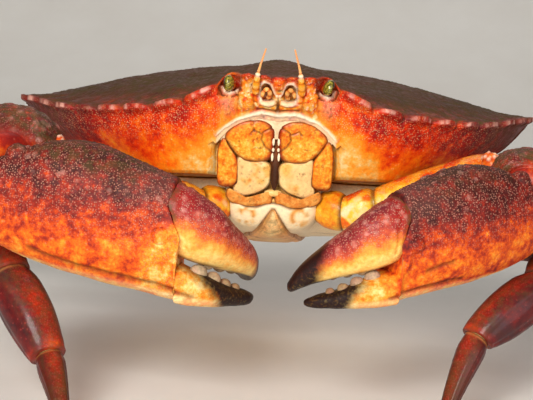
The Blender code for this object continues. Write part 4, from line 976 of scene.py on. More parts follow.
# The outline of the palp on the upper mouthparts as (distance from the middle, height)
PALP_LINE = ((1.3, -6.6), (3.8, -8.0), (4.2, -10.0), (3.0, -12.0), (1.3, -13.0))
PALP_NOTCH = ((4.0, -8.6), (6.4, -7.6), (7.2, -8.4))
# The short plates between the mouthparts and the breast
BASE_PLATE = ((0.7, -24.6), (3.0, -24.9), (6.0, -25.9), (9.3, -26.3), (11.8, -25.2), (13.0, -24.0),
              (13.6, -25.6), (12.6, -27.2), (10.6, -28.0), (7.8, -28.4), (4.9, -28.4), (2.0, -27.6),
              (0.6, -27.2))
PIT_DEPTH = {"merus": 0.6, "ischium": 0.4, "exopod": 0.25, "base": 0.4}
# Axes of beads, with their poles above and below or on their left and right
UPRIGHT = ((0, 0, 1), (1, 0, 0), (0, 1, 0))
LEVEL = ((1, 0, 0), (0, 1, 0), (0, 0, 1))


def mouth_marks(part, warm, side, grid, scale):
    """Relief and colours of a mouthpart: a brown rim, pits, blotches, specks and the outline of its palp."""
    x, z = np.abs(grid[..., 0]), grid[..., 2]
    rim = ease(0.9, 0.97, scale)
    pits = ease(0.35, 0.75, rough(grid, 1.1, 8 + side)) * (1 - rim)
    blotch = ease(0.0, 0.5, rough(grid, 3.2, 17 + side))
    places = np.stack((x, z), axis=-1)
    palp = hump(np.minimum(away_from(places, PALP_LINE), away_from(places, PALP_NOTCH)), 0.3)
    palp = palp * (part == "merus")
    specks = ease(0.3, 0.7, rough(grid, 0.8, 28 + side)) * (1 - rim)
    streaks = ease(0.0, 0.7, rough(grid * (1.0, 1.0, 0.2), 0.9, 38 + side)) * (part == "exopod")
    inner = ease(5.0, 2.0, x) * (part == "ischium")
    marks = {
        "warm": warm + 0.2 * ease(-8.0, -12.0, z) * (part == "merus") + 0.15 * inner
        - 0.25 * blotch * (part in ("ischium", "base")),
        "brown": np.clip(rim * 0.75 + PIT_DEPTH[part] * pits + 0.75 * palp
                         + (0.35 + 0.4 * inner) * specks * (part != "exopod"), 0, 1),
        "white": 0.2 * (part == "ischium") * (1 - blotch),
        "red": 0.45 * ease(4.0, 1.2, x) * (part == "merus")
        + 0.6 * ease(0.8, 0.92, scale) * (part in ("merus", "exopod")) + 0.5 * streaks,
    }
    return 0.12 * rough(grid, 1.8, 4) - 0.12 * pits - 0.35 * palp - 0.08 * streaks, marks


def slit_shade_skins():
    """The slit between the mouthparts with a dark plate in it painted as shade, the pale teeth in it and the
    small plate below.
    """
    skins = []
    for x, z, tall in ((1.2, -10.4, 1.1), (1.5, -14.6, 1.2), (1.2, -12.6, 0.6)):
        for side in (1, -1):
            centre = stand((x * side * 0.62, mouth_surface(z, 0.1), z))
            skins.append((blob(centre, (tall, 0.38, 0.5), UPRIGHT), {"warm": 1.0, "white": 0.9}))
    chin = blob(stand((-0.2, mouth_surface(-25.0, 0.6), -24.6)), (2.6, 1.0, 1.1), LEVEL)
    skins.append((chin, {"warm": 0.9, "tan": 0.2}))
    # A dark plate behind the gap between the mouthparts: painted shade, blacker lower down
    slit = blob(stand((0.0, mouth_surface(-14.0, 2.2), -14.5)), (9.5, 1.6, 1.0), UPRIGHT)
    shade_z = np.interp(slit[..., 2], *SLIT_HEIGHTS)
    skins.append((slit, {"warm": 0.0, "brown": 0.75, "black": 0.9 * ease(-9.0, -15.0, shade_z)}))
    return skins


def build_mouthparts():
    """The outer mouthparts, mottled and outlined, with the slit between them and its pale teeth."""
    base = ((0.0, srgb(150, 60, 12)), (0.22, srgb(214, 90, 12)), (0.42, srgb(238, 124, 26)),
            (0.62, srgb(246, 160, 44)), (0.82, srgb(250, 196, 84)), (1.0, CREAM))
    orange = shell_finish("mouth_orange", base, grain=CREAM, mottle=1.1, lumps=2.0, dark=BROWN,
                          roughness=0.34)
    cream = shell_finish("mouth_cream", ((0.0, srgb(196, 92, 24)), (0.25, srgb(222, 134, 52)),
                                         (0.5, srgb(238, 180, 92)), (1.0, srgb(250, 212, 134))),
                         grain=TAN, mottle=0.7, lumps=2.6, dark=srgb(150, 90, 40), roughness=0.36)
    kinds = (("merus", MERUS_PLATE, 0.6, 0.3, orange, "mouthpart_orange", 0.46),
             ("ischium", ISCHIUM_PLATE, 0.35, 0.3, cream, "mouthpart_cream", 0.62),
             ("exopod", EXOPOD_PLATE, 0.35, 0.42, orange, "mouthpart_orange", 0.54),
             ("base", BASE_PLATE, 0.5, 0.25, cream, "mouthpart_cream", 0.3))
    for side, label in SIDES:
        for part, outline, swell, grow, finish, slot, warm in kinds:
            grid, scale = plate_grid(outline, side, swell, grow)
            height, marks = mouth_marks(part, warm, side, grid, scale)
            node = None if part == "base" else f"maxilliped_{label}_{part}"
            make_piece(f"mouth_{label}_{part}", finish, [(stand(raised(grid, height)), marks)], node)
    make_piece("mouth_slit", cream, slit_shade_skins())


# Eyes and feelers

def threaded(path, side, sides, rows):
    """Rings along a path of rows (x, y, z, half width, half height) in the shell frame, and their places."""
    path = np.array(path) * (side, 1, 1, 1, 1)
    places = np.linspace(0, len(path) - 1, rows)
    dense = smooth_rows(path, places)
    spine = stand(dense[:, :3])
    way = unit(np.gradient(spine, axis=0))
    rings = [ring(c, a, (0.2, 0.5, 1.0), *row[3:], sides, 2.0) for c, a, row in zip(spine, way, dense)]
    return np.array(rings), places


def eye_finish():
    """A glossy eye: olive with darker and yellower strands down it, on an orange stalk."""
    f = Finish("eye", 0.16, 1.0)
    strands = f.noise(0.5, 3.0, distortion=0.4)
    colour = f.ramp(strands, (0.32, srgb(38, 32, 10)), (0.48, srgb(112, 100, 26)), (0.66, srgb(186, 172, 70)))
    colour = f.mix(f.layer("dark"), colour, DARK)
    colour = f.mix(f.layer("stalk"), colour, f.mix(f.noise(0.8), RED_ORANGE, AMBER))
    f.bump(f.cells(0.12), 0.008)
    return f.finish(colour, f.math("MULTIPLY_ADD", f.layer("stalk"), 0.3, 0.14))


def build_eyes():
    """The stalked eyes in their sockets."""
    finish = eye_finish()
    for side, label in SIDES:
        grid, places = threaded(EYE_PATH, side, 60, 70)
        p = places[:, None]
        outer = ease(14.5, 15.2, np.abs(grid[..., 0]))
        marks = {"stalk": 1 - ease(1.4, 1.7, p),
                 "dark": np.clip(hump(p - 1.75, 0.2) + 0.85 * outer * (p > 2), 0, 1)}
        eyeball = raised(grid, 0.12 * ease(1.6, 2.0, p))
        make_piece(f"eyeball_{label}", finish, [(eyeball, marks)], f"eye_{label}")


def build_feelers():
    """The antennae, beaded and banded, and the antennules folded into their hollows."""
    finish = shell_finish("feeler", ((0.0, RED_ORANGE), (0.4, ORANGE), (0.7, AMBER), (1.0, CREAM)),
                          grain=WHITE, mottle=0.6, lumps=1.5, dark=BROWN)
    for side, label in SIDES:
        grid, places = threaded(ANTENNA_PATH, side, 28, 150)
        p = places[:, None]
        beads = np.abs(np.sin(math.pi * np.interp(places, (0, 2, 4, 7), (0, 2, 4, 22))))[:, None]
        marks = {"warm": 0.5 - 0.1 * ease(4, 6, p) + 0.25 * beads, "brown": 0.5 * (1 - beads) ** 2,
                 "white": 0.9 * hump(p - 3.3, 0.45) + 0.3 * beads * (p > 4)}
        tall = np.interp(places, (0, 2.5, 3.3, 4, 5, 7), (0.12, 0.15, 0.3, 0.2, 0.1, 0.06))[:, None]
        antenna = raised(grid, tall * (beads - 0.3))
        make_piece(f"feeler_{label}", finish, [(antenna, marks)], f"antenna_{label}")
        grid, places = threaded(ANTENNULE_PATH, side, 24, 70)
        p = places[:, None]
        beads = np.abs(np.sin(math.pi * p * 0.8))
        marks = {"warm": 0.4 + 0.35 * beads, "white": 0.15 * beads, "brown": 0.7 * (1 - beads) ** 2,
                 "silt": 0.35}
        antennule = raised(grid, 0.15 * beads)
        make_piece(f"feeler_small_{label}", finish, [(antennule, marks)],
                   f"antennule_{label}")


# Claws

def knuckle_at(v):
    """How far along the claw the plane of its knuckle lies at a height up the palm."""
    return KNUCKLE_TOP[0] + (KNUCKLE_TOP[1] - v) * KNUCKLE_LEAN


# The fixed finger starts just ahead of that plane
FINGER_ROOT = knuckle_at((FINGER_ROWS[0][1] + FINGER_ROWS[0][2]) / 2) + 0.15


class ClawFrame:
    """Places points given along a claw, up its palm and out of its outer face, and reads them back."""

    def __init__(self, label):
        """The frame of the left or right claw."""
        self.label = label
        self.origin = np.array(CLAW_WRIST[label])
        self.scale = CLAW_SCALE[label]
        self.u = unit(PALM_HEADING[label])
        self.v = unit(UP - self.u * self.u[2])
        outward = np.cross(self.u, self.v)
        self.w = outward if outward[1] < 0 else -outward

    def place(self, u, v, w):
        """A point of the claw's frame, in the stance."""
        return self.origin + (self.u * u + self.v * v + self.w * w) * self.scale

    def local(self, points):
        """Points of the stance, in the claw's frame."""
        away = (points - self.origin) / self.scale
        return away @ self.u, away @ self.v, away @ self.w

    def turned(self, heading):
        """The direction of the fingers where they have bent inwards by the heading."""
        return self.u * math.cos(heading) - self.w * math.sin(heading)


def claw_ring(claw, u, w, heading, top, bottom, half_thick, sides, lean, squareness=CLAW_SQUARENESS):
    """A ring of the claw from its bottom to its top height; lean sets its foot ahead of its head."""
    normal = claw.turned(heading)
    up = unit(claw.v - normal * lean)
    half_height = (top - bottom) / 2 * math.sqrt(1 + lean * lean)
    centre = claw.place(u, (top + bottom) / 2, w)
    return ring(centre, normal + claw.v * lean, up, half_thick * claw.scale, half_height * claw.scale, sides,
                squareness)


def finger_path(distance, claw, u):
    """Place and heading along a finger that starts at u and turns inwards at its root and near its tip."""
    covered = distance * (np.arange(20) + 0.5) / 20
    heading = FINGER_BEND[claw.label] * ease(0.0, 10.0, covered) * (1 + covered / 110)
    heading = heading + TIP_BEND[claw.label] * ease(15.0, 30.0, covered)
    step = distance / 20
    return u + step * np.cos(heading).sum(), -step * np.sin(heading).sum(), float(heading[-1])


def knuckle_wave(claw, points, lobe):
    """How far the outer rim of the palm stands ahead of its plane: a lobe, and a hollow above it."""
    u, v, w = claw.local(points)
    knuckle = u - knuckle_at(v)
    wave = lobe * (1.9 * hump(v - 0.2, 3.0) + 0.5 * hump(v + 6.5, 2.0)) - 1.5 * hump(v - 8.4, 2.6)
    return (wave * ease(1.0, 5.0, w) * ease(-8.0, -0.5, knuckle))[..., None]


PALM_PLACES = 340
# How far along the palm its control rings lie
PALM_STATIONS = (0.0, 4.0, 9.0, 15.0, 22.0, 30.0, 38.0)
# Half the thickness of its last ring, at the knuckle
KNUCKLE_HALF_THICK = 8.0
PALM_GROOVES = {"right": (((12, -11.6), (21.4, -12.8), (34.8, -13.2), (45.3, -12.9), (56, -14.0)),),
                "left": (((30, -13.2), (42, -13.6), (54, -14.4)), ((33.5, -7.0), (42.0, -8.2)))}
# Warmth of the palm's colour at heights from its bottom up
WARMTH_HEIGHTS = (-17, -10, -4, 1, 5, 10, 16)
PALM_WARMTH = {"right": (0.6, 0.52, 0.45, 0.36, 0.25, 0.14, 0.1),
               "left": (0.4, 0.5, 0.46, 0.34, 0.18, 0.08, 0.06)}
# Where the fixed finger turns dark along its upper edge, and how much further on for each step down from it
FINGER_DARK_FROM = {"right": (2.2, 0.85), "left": (5.5, 0.7)}
# Where the movable finger turns dark along its lower edge
DACTYL_DARK_FROM = {"right": 24.0, "left": 20.5}
PALM_SILT = {"right": 0.8, "left": 0.35}


def palm_grid(claw, wrist_normal):
    """The palm, knuckle and fixed finger as rings, and how far along the finger each ring lies."""
    rings = []
    for u in PALM_STATIONS:
        top, bottom, half_thick = (float(curve(rows, u)) for rows in (PALM_TOP, PALM_BOTTOM, PALM_HALF_THICK))
        ahead = claw.u + claw.v * KNUCKLE_LEAN * ease(10.0, 44.0, u)
        normal = wrist_normal + (ahead - wrist_normal) * ease(0, 12, u)
        rings.append(ring(claw.place(u, (top + bottom) / 2, 0.0), normal, claw.v, half_thick * claw.scale,
                          (top - bottom) / 2 * claw.scale, PALM_PLACES, CLAW_SQUARENESS))
    rings.append(claw_ring(claw, (KNUCKLE_TOP[0] + KNUCKLE_BOTTOM[0]) / 2, 0.0, 0.0, KNUCKLE_TOP[1],
                           KNUCKLE_BOTTOM[1], KNUCKLE_HALF_THICK, PALM_PLACES, KNUCKLE_LEAN))
    finger = []
    for distance, top, bottom, half_thick in FINGER_ROWS:
        u, w, heading = finger_path(distance, claw, FINGER_ROOT)
        lean = KNUCKLE_LEAN * (1 - ease(0.0, 7.0, distance))
        squareness = CLAW_SQUARENESS + 1.8 * ease(8.0, 0.0, distance)
        finger.append(claw_ring(claw, u, w, heading, top, bottom, half_thick, PALM_PLACES, lean, squareness))
    palm = smooth_rows(rings, np.linspace(0, 7, 190))
    palm = palm + knuckle_wave(claw, palm, 1.0) * claw.u * claw.scale
    u, v, w = claw.local(palm)
    slimmer = 1 - FINGER_ROWS[0][3] / KNUCKLE_HALF_THICK
    slimmer = slimmer * ease(-8.0, -0.5, u - knuckle_at(v)) * ease(-4.0, -9.0, v)
    palm = palm - (w * slimmer * claw.scale)[..., None] * claw.w
    across = np.linspace(0, 1, 14)[1:-1, None, None]
    places = np.append(np.linspace(0, 7, 92), 7.0)
    tip = blunted(smooth_rows(finger, places))
    grid = np.concatenate((palm, palm[-1] + (tip[0] - palm[-1]) * across, tip))
    along = np.interp(places, np.arange(8), [row[0] for row in FINGER_ROWS])
    return grid, np.concatenate((np.zeros(len(grid) - len(along)), along))[:, None]


def palm_marks(claw, grid, along):
    """Relief and colours of a palm with its fixed finger."""
    u, v, w = claw.local(grid)
    right = claw.label == "right"
    knuckle = u - knuckle_at(v)
    places = np.stack((u, v), axis=-1) + 0.35 * rough(grid, 4.0, 12)[..., None]
    groove = sum(hump(away_from(places, line), 0.75) for line in PALM_GROOVES[claw.label])
    groove = groove * ease(0.0, 2.0, w)
    base = ease(-1.5, 2.0, u - 42.5 - 0.2 * (v + 4)) * (1 - ease(1.5, 5.0, v)) * right
    finger = ease(0.0, 3.0, along)
    bare = np.maximum(base, finger)
    fine, coarse = grains(grid, 0.95, 2), grains(grid, 2.7, 4)
    grainy = ease(-9.0, 1.0, v) * (1 - bare) * ease(-0.2, -1.0, knuckle)
    knobs = ease(0.35, 0.85, coarse) * ease(2.0, 9.0, v) * ease(0.1, 0.5, rough(grid, 8.0, 14))
    corner = ease(30.0, 40.0, u) * ease(5.0, 11.0, v)
    height = grainy * ((0.14 + 0.1 * corner) * fine + 0.5 * knobs) + 0.28 * rough(grid, 7.0, 3)
    height = height - 0.55 * groove
    pad = hump(knuckle + 0.9, 0.9) * ease(4.0, 1.0, v) * ease(-12.0, -6.0, v)
    height = height + 0.1 * rough(grid, 2.0, 5) + 0.5 * pad
    if right:
        line = v + 1.8 * rough(grid, 6.0, 9) + 2.0 * ease(40.0, 0.0, u) - 1.5 * ease(25.0, 45.0, u) * (v < 8)
    else:
        line = v + 2.5 * rough(grid, 6.0, 9)
    warm = np.interp(line, WARMTH_HEIGHTS, PALM_WARMTH[claw.label])
    warm = warm + (0.72 - warm) * base * (0.5 + 0.5 * ease(-0.3, 0.2, rough(grid, 5.0, 10)))
    warm = warm + (0.82 - 0.12 * ease(5.0, 0.0, along) - warm) * finger * (1 if right else 0.9)
    dark_start, dark_slope = FINGER_DARK_FROM[claw.label]
    dark_from = dark_start + dark_slope * (-9.0 - v)
    ridge = (1 - ease(-15.2, -13.6, v)) * (w > -4)
    settled = ease(9.0, 15.0, v + 2.5 * rough(grid, 5.0, 7) - 4.0 * ease(33.0, 42.0, u))
    socket = ease(0.3, 0.8, knuckle - knuckle_wave(claw, grid, 1.0)[..., 0]) * (along == 0)
    marks = {
        "warm": warm + (0.85 - warm) * 0.7 * ridge,
        "white": 0.2 * ridge,
        "brown": np.clip(np.clip(groove * 0.75, 0, 1) + 0.4 * socket, 0, 1),
        "tan": 0.7 * socket,
        "grain": grainy * (0.5 + 0.5 * ease(-3, 8, v))
        + 0.5 * base * ease(7.0, 0.0, along) * (1 - ease(-3.0, 1.0, v) * 0.5),
        "rim": 0.3 * grainy * knobs * ease(5.0, 11.0, v) + 0.05 * grainy * corner,
        "silt": 0.9 * settled * PALM_SILT[claw.label],
        "black": ease(-0.5, 3.5, along - dark_from + 0.8 * rough(grid, 2.0, 16)) * (along > 0),
    }
    return height, marks


def tooth_skins(claw, edge_rows, root_u, teeth, below):
    """Blunt teeth along the edge of a finger that is given by rows of distance and height."""
    skins = []
    for distance, radius, white in teeth:
        u, w, heading = finger_path(distance, claw, root_u)
        centre = claw.place(u, float(curve(edge_rows, distance)) + below, w)
        r = 1.15 * radius * claw.scale
        way = claw.turned(heading)
        bead = blob(centre, (r, r * 0.95, r), (way, claw.v, np.cross(way, claw.v)), 22, 30)
        marks = {"warm": 0.7, "white": white, "brown": 0.4, "black": 0.8 * (1 - white),
                 "silt": 0.25 + 0.3 * ease(0.0, 0.5, rough(bead, 1.0, 3))}
        skins.append((raised(bead, 0.08 * rough(bead, 0.8, 2)), marks))
    return skins


def build_palm(label, finish):
    """The palm with the claw's fixed finger, its teeth and the knobs of its two joints."""
    claw = ClawFrame(label)
    grid, along = palm_grid(claw, arm_joints(label)[1][-1])
    height, marks = palm_marks(claw, grid, along)
    skins = [(raised(grid, height), marks)] + tooth_skins(claw, FINGER_ROWS, FINGER_ROOT, FINGER_TEETH, -0.25)
    for place, radius in ((WRIST_KNOB, 3.2), (HINGE_KNOB, 2.8)):
        r = radius * claw.scale
        bead = blob(claw.place(*place), (r, r, r), (claw.u, claw.v, claw.w), 30, 44)
        height, marks = palm_marks(claw, bead, np.zeros((30, 1)))
        skins.append((raised(bead, 0.5 * height), marks))
    make_piece(f"palm_{label}", finish, skins, f"claw_{label}_propodus")


def build_dactyl(label, finish):
    """The claw's movable finger: granular above, smooth and pale below, with a dark tip."""
    claw = ClawFrame(label)
    rings = []
    for distance, top, bottom, half_thick in DACTYL_ROWS:
        start = DACTYL_ROOT if distance else knuckle_at((top + bottom) / 2) + DACTYL_GAP / claw.scale
        u, w, heading = finger_path(distance, claw, start)
        lean = KNUCKLE_LEAN * (1 - ease(0.0, 9.0, distance))
        rings.append(claw_ring(claw, u, w, heading, top, bottom, half_thick, 220, lean))
    places = np.append(np.linspace(0, 8, 160), 8.0)
    grid = smooth_rows(rings, places)
    reach = 1 - ease(0.0, 1.4, places)[:, None, None]
    grid = blunted(grid + knuckle_wave(claw, grid, 0.0) * reach * claw.u * claw.scale)
    columns = np.transpose(DACTYL_ROWS)[:3]
    along, top, bottom = (np.interp(places, np.arange(len(row)), row)[:, None] for row in columns)
    u, v, w = claw.local(grid)
    t = (v - bottom) / (top - bottom)
    wavy = t + 0.1 * rough(grid, 5.0, 2) + 0.04 * rough(grid, 1.4, 3)
    upper = ease(0.36, 0.62, wavy)
    dark_from = DACTYL_DARK_FROM[label] - 2.5 * t
    tip = ease(-1.0, 4.0, along + 0.8 * rough(grid, 2.0, 9) - dark_from)
    fine, coarse = grains(grid, 0.85, 6), grains(grid, 2.2, 8)
    grainy = upper * (1 - tip) * ease(0.6, 1.6, along)
    height = grainy * (0.12 * fine + 0.12 * coarse * ease(0.6, 0.9, t)) + 0.15 * rough(grid, 5.0, 4)
    height = height - 0.35 * hump(along - 2.2, 0.5) * (t > 0.2)
    under = 1 - ease(0.02, 0.1, t)
    marks = {"warm": np.interp(wavy, (0.0, 0.28, 0.42, 0.56, 0.72, 1.0), (0.88, 0.76, 0.6, 0.42, 0.26, 0.1)),
             "grain": grainy, "brown": 0.8 * under * (w > -3),
             "rim": 0.4 * grainy * coarse**2 * (t > 0.6),
             "black": np.clip(tip + under * ease(14, 20, along), 0, 1),
             "red": 0.85 * (1 - ease(2.0, 5.0, along)) * ease(0.5, 0.7, t),
             "silt": hump(along - 0.3, 1.0) * ease(0.4, 0.6, t)}
    lower_edge = [(row[0], row[2]) for row in DACTYL_ROWS]
    skins = [(raised(grid, height), marks)] + tooth_skins(claw, lower_edge, DACTYL_ROOT, DACTYL_TEETH, 1.2)
    make_piece(f"finger_{label}", finish, skins, f"claw_{label}_dactyl")


def arm_joints(label):
    """The joint points of a claw's arm and the normals of their planes, the last one the wrist's."""
    joints = [np.array(place[label]) for place in (CLAW_ROOT, CLAW_ISCHIUM, CLAW_ELBOW, CLAW_WRIST)]
    ways = [unit(b - a) for a, b in zip(joints, joints[1:])]
    wrist_normal = unit(unit(PALM_HEADING[label]) + ways[2] * 0.7)
    return joints, [ways[0], unit(ways[0] + ways[1]), unit(ways[1] + ways[2]), wrist_normal]


def coxa_marks(grid, t, _rise):
    """The claw's base: yellow, smooth and outlined in brown, with pale patches painted on as highlights."""
    height = 0.15 * rough(grid, 3.0, 3)
    ends = np.maximum(hump(t, 0.12), hump(t - 1, 0.12))
    blotch = ease(0.05, 0.4, rough(grid, 4.0, 21))
    return raised(grid, height), {"warm": 0.62 - 0.35 * blotch, "brown": 0.85 * ends,
                                  # white: pale patches that are painted highlights
                                  "white": 0.5 * ease(0.3, 0.7, rough(grid, 3.0, 24)) * (1 - blotch)}


def merus_marks(grid, t, rise):
    """The claw's arm: yellow in front with pale patches painted on as glossy highlights, orange along its
    upper edge, a seam near its base.
    """
    seam = hump(t - 0.215, 0.018)
    height = 0.15 * rough(grid, 4.0, 3) - 0.5 * seam + 0.15 * grains(grid, 1.0, 2) * ease(0.5, 0.8, rise)
    upper = ease(0.35, 0.9, rise)
    blotch = ease(0.05, 0.4, rough(grid, 4.0, 22))
    # pale: patches on the front that are painted highlights
    pale = ease(0.2, 0.6, rough(grid, 3.0, 24)) * (1 - blotch) * (1 - upper)
    return raised(grid, height), {"warm": 0.92 - 0.4 * upper - 0.5 * blotch - 0.3 * ease(0.85, 1.0, t),
                                  "brown": 0.85 * seam, "grain": 0.6 * upper, "white": 0.55 * pale}


def carpus_marks(grid, t, rise):
    """The wrist block: granular and silted above, smooth bright red where the palm turns on it."""
    fine, coarse = grains(grid, 1.0, 2), grains(grid, 3.0, 3)
    front = ease(0.72, 0.9, t)
    seam = hump(t - 0.86, 0.02)
    height = (1 - front) * (0.2 * fine + 0.35 * coarse) + 0.3 * rough(grid, 7.0, 5) - 0.5 * seam
    return raised(grid, height), {"warm": 0.16 + 0.2 * front + 0.2 * rough(grid, 6.0, 6),
                                  "grain": (1 - front) * 0.7, "rim": 0.5 * (1 - front) * coarse**2,
                                  "silt": 0.95 * ease(-0.2, 0.4, rise) * (1 - front),
                                  "red": 0.55 * front * ease(-0.4, 0.2, rise)}


def spur_skin(label, joints):
    """The tooth on the inner corner of the wrist block, set with beads."""
    spur = np.array(CARPUS_TOOTH[label])
    root = spur + ((joints[2] + joints[3]) / 2 - spur) * 0.55
    way = unit(spur - root)
    cone = smooth_rows(segment(root, spur, way, way, UP, SPUR_PROFILE, 90), np.linspace(0, 3, 50))
    bead = grains(cone, 1.5, 3)
    return raised(cone, 0.45 * bead), {"warm": 0.5, "white": 0.7 * bead}


# Each part of a claw's arm: its marks, its slot, its places round and its rows
ARM_PARTS = {"coxa": (coxa_marks, "claw_base_cream", 120, 40),
             "merus": (merus_marks, "claw_arm_orange", 130, 110),
             "carpus": (carpus_marks, "claw_dark_red", 210, 130)}


def build_arm(label, finishes):
    """The base, arm and wrist block of a claw."""
    joints, normals = arm_joints(label)
    for i, (part, (marks_of, slot, sides, rows)) in enumerate(ARM_PARTS.items()):
        start, end = joints[i] + normals[i] * JOINT_GAP, joints[i + 1] - normals[i + 1] * JOINT_GAP
        scale, bow = (CLAW_SCALE[label], CARPUS_BOW[label]) if part == "carpus" else (1.0, (0, 0, 0))
        profile = [(t, half_width * scale, half_height * scale)
                   for t, half_width, half_height in CLAW_PROFILES[part]]
        skins = [marks_of(*limb_grid(start, end, normals[i:i + 2], UP, profile, sides, rows, bow))]
        if part == "carpus":
            skins.append(spur_skin(label, joints))
        make_piece(f"{part}_{label}", finishes[part], skins, f"claw_{label}_{part}")


def build_claws():
    """Both claws, each in its own pose, folded in front of the mouth."""
    yellow = ((0.0, RED_ORANGE), (0.35, ORANGE), (0.6, AMBER), (0.85, YELLOW), (1.0, CREAM))
    red = ((0.0, srgb(62, 20, 18)), (0.16, srgb(104, 28, 24)), (0.32, srgb(156, 40, 20)),
           (0.46, srgb(206, 72, 14)), (0.6, srgb(232, 112, 22)), (0.74, srgb(236, 150, 42)),
           (0.88, srgb(240, 192, 106)), (1.0, CREAM))
    pale = srgb(222, 152, 128)
    finishes = {part: shell_finish(name, yellow, grain=CREAM, mottle=0.8, lumps=3.5, roughness=0.3, coat=0.3)
                for part, name in (("coxa", "claw_base"), ("merus", "claw_arm"))}
    finishes["carpus"] = shell_finish("wrist", red, grain=pale, mottle=0.7, roughness=0.4)
    palm = shell_finish("palm", red, grain=pale, mottle=0.9, lumps=4.5, roughness=0.52, coat=0.0)
    pink = ((0.0, srgb(104, 30, 38)), (0.2, srgb(146, 42, 42)), (0.36, srgb(190, 70, 44)),
            (0.52, srgb(232, 118, 42)), (0.68, srgb(246, 168, 68)), (0.84, srgb(252, 208, 118)), (1.0, CREAM))
    finger = shell_finish("finger", pink, grain=pale, mottle=0.45, lumps=3.5)
    for label in ("left", "right"):
        build_arm(label, finishes)
        build_palm(label, palm)
        build_dactyl(label, finger)


# Walking legs

# Places round a segment and its rows
LEG_GRIDS = {"merus": (76, 110), "carpus": (76, 50), "propodus": (76, 68), "dactyl": (52, 60)}
# Half the width and height of the skin in the wrist of a claw
WRIST_SKIN = (6.4, 9.2)


def leg_skin(name, part, i, joints, normals):
    """A leg segment as rings with its relief and colours."""
    is_tip = part == "dactyl"
    start = joints[i] + normals[i] * JOINT_GAP
    end = joints[i + 1] - normals[i + 1] * (0.0 if is_tip else JOINT_GAP)
    high = (end - start) * (1, 1, 0) if is_tip else UP
    grid, t, rise = limb_grid(start, end, normals[i:i + 2], high, stout_profile(name, part),
                              *LEG_GRIDS[part], UP * LEG_BOW[part])
    ends = np.maximum(1 - ease(0.0, 0.05, t), ease(0.95, 1.0, t))
    keel = np.abs(rise) ** 8
    bead = grains(grid, 1.3, 5)
    flat = hump(rise - 0.35, 0.16) + hump(rise + 0.4, 0.16)
    height = 0.12 * rough(grid, 4.0, 3) + (1 - ends) * (0.16 * bead * keel - 0.35 * flat * ease(0.05, 0.2, t))
    marks = {"warm": 0.14 + 0.34 * keel + 0.25 * ease(0.88, 0.96, t) + 0.12 * rough(grid, 5.0, 8),
             "brown": 0.3 * ends, "grain": 0.5 * keel,
             "top": 0.75 * ease(0.0, 0.5, rough(grid, 6.0, 4)) * (1 - keel),
             "silt": 0.5 * ease(0.2, 0.9, rise), "tan": 0.6 * hump(t - 0.035, 0.02) * (part != "merus")}
    if is_tip:
        height = 0.1 * np.cos(5 * math.pi * rise) * ease(0.05, 0.2, t) * (1 - ease(0.9, 1.0, t)) + 0.05 * bead
        marks["black"] = ease(0.72, 0.9, t)
        marks["top"] = 0.5 * ease(0.2, 0.6, t)
    return raised(grid, height), marks


def collar(centre, normal, half_width, half_height):
    """The soft skin inside a joint, a little slimmer than the shell on either side."""
    reach = np.linspace(-1.3, 1.3, 9)
    rings = []
    for r in reach:
        slim = 0.9 - 0.04 * r * r
        rings.append(ring(centre + unit(normal) * r, normal, UP, half_width * slim, half_height * slim, 60))
    return raised(np.array(rings), 0.08 * np.sin(reach * 6)[:, None]), {"warm": 0.6}


def build_legs():
    """The eight walking legs and the soft skin in every joint of the limbs."""
    red = ((0.0, srgb(62, 17, 20)), (0.25, srgb(100, 22, 20)), (0.5, srgb(146, 34, 16)),
           (0.72, srgb(190, 50, 14)), (1.0, ORANGE))
    leg = shell_finish("leg", red, grain=ROSE, mottle=0.6, lumps=4.0, dark=srgb(62, 34, 40),
                       roughness=0.38, coat=0.2)
    tip = shell_finish("leg_tip", red, grain=ROSE, mottle=0.5, lumps=3.0, dark=BROWN,
                       roughness=0.38, coat=0.25)
    skin = shell_finish("joint_skin", ((0.0, BROWN), (0.5, srgb(128, 118, 62)), (1.0, srgb(196, 188, 130))),
                        grain=CREAM, mottle=0.6, lumps=1.5, dark=BROWN, roughness=0.5)
    collars = []
    for name, reach in LEG_REACH.items():
        joints, normals = [np.array(p) for p in reach], joint_normals(reach)
        for i, part in enumerate(LEG_PARTS):
            finish, slot = (tip, "leg_tip_brown") if part == "dactyl" else (leg, "leg_red")
            make_piece(f"{part}_{name}", finish, [leg_skin(name, part, i, joints, normals)],
                       f"leg_{name}_{part}")
            collars.append(collar(joints[i], normals[i], *stout_profile(name, part)[0][1:]))
    for label in ("left", "right"):
        joints, normals = arm_joints(label)
        sizes = [profile[0][1:] for profile in CLAW_PROFILES.values()]
        sizes.append([half * CLAW_SCALE[label] for half in WRIST_SKIN])
        for joint, normal, size in list(zip(joints, normals, sizes))[1:]:
            collars.append(collar(joint, normal, *size))
    make_piece("joint_skins", skin, collars)


# Camera, floor and light

CAMERA_TARGET = (-2.0, -56.0 + FOOTPRINT_SHIFT, 55.0)
CAMERA_DISTANCE = 400.0
CAMERA_LENS = 96.0
CAMERA_SENSOR = 36.0
CAMERA_DOWN = math.radians(8.0)
CAMERA_ROLL = math.radians(2.6)


def build_camera():
    """The photograph's view: from a little above the claws, a touch rolled."""
    forward = Vector((0, math.cos(CAMERA_DOWN), -math.sin(CAMERA_DOWN)))
    level_up = Vector((0, math.sin(CAMERA_DOWN), math.cos(CAMERA_DOWN)))
    level = Vector((1, 0, 0))
    right = level * math.cos(CAMERA_ROLL) + level_up * math.sin(CAMERA_ROLL)
    up = level_up * math.cos(CAMERA_ROLL) - level * math.sin(CAMERA_ROLL)
    data = bpy.data.cameras.new("view")
    data.lens = CAMERA_LENS
    data.sensor_width = CAMERA_SENSOR
    data.clip_start = 0.01
    camera = placed("view", data)
    turn = Matrix((right, up, -forward)).transposed().to_4x4()
    camera.matrix_world = Matrix.Translation((Vector(CAMERA_TARGET) - forward * CAMERA_DISTANCE) * MM) @ turn
    bpy.context.scene.camera = camera


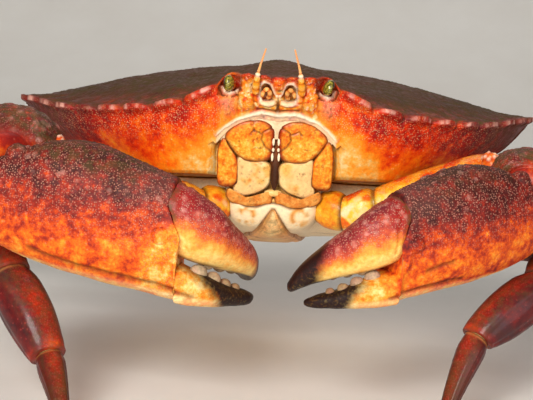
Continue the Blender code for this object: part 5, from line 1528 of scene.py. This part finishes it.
def build_stage():
    """A pale floor that rises in a soft curve behind the crab; its lengths are metres."""
    f = Finish("floor", 0.85)
    colour = f.ramp(f.noise(60.0, 4.0), (0.3, srgb(236, 232, 226)), (0.7, srgb(242, 239, 234)))
    f.bump(f.noise(1.2, 4.0), 0.03)
    finish = f.finish(colour)
    profile = [(-1.6, 0.0), (0.5, 0.0)]
    profile += [(0.5 + 0.4 * math.sin(angle), 0.4 - 0.4 * math.cos(angle))
                for angle in np.linspace(0.05, math.pi / 2, 30)]
    profile.append((0.9, 1.6))
    points = [(x, y, z) for y, z in profile for x in (-2.2, 2.2)]
    faces = [(2 * k, 2 * k + 1, 2 * k + 3, 2 * k + 2) for k in range(len(profile) - 1)]
    mesh = bpy.data.meshes.new("floor")
    mesh.from_pydata(points, [], faces)
    mesh.shade_smooth()
    mesh.materials.append(finish)
    placed("floor", mesh)


def soft_light(name, place, target, size, power, colour=(1.0, 1.0, 1.0)):
    """A square soft light at a place, turned to a target; lengths here are metres."""
    data = bpy.data.lights.new(name, "AREA")
    data.size = size
    data.energy = power
    data.color = colour
    way = Vector(target) - Vector(place)
    turn = way.to_track_quat("-Z", "Y").to_matrix().to_4x4()
    placed(name, data).matrix_world = Matrix.Translation(place) @ turn


def build_lights():
    """Soft studio light, in metres: a key above the camera, a low fill in front and a white room's sky."""
    centre = (0.0, -0.03, 0.05)
    soft_light("key", (-0.22, -0.82, 0.42), centre, 0.4, 9.6, (1.0, 0.97, 0.92))
    soft_light("fill", (0.5, -0.7, 0.22), centre, 0.5, 1.9)
    soft_light("top", (0.1, 0.3, 0.9), centre, 0.7, 1.6)
    world = bpy.data.worlds.new("room")
    world.use_nodes = True
    background = world.node_tree.nodes["Background"]
    background.inputs["Color"].default_value = (1.0, 0.97, 0.93, 1.0)
    background.inputs["Strength"].default_value = 0.12
    bpy.context.scene.world = world
    bpy.context.scene.view_settings.view_transform = "Standard"


def main():
    """The whole crab on its stage."""
    build_camera()
    build_stage()
    build_lights()
    build_carapace()
    build_thorax()
    build_tail()
    build_mouthparts()
    build_eyes()
    build_feelers()
    build_claws()
    build_legs()


main()
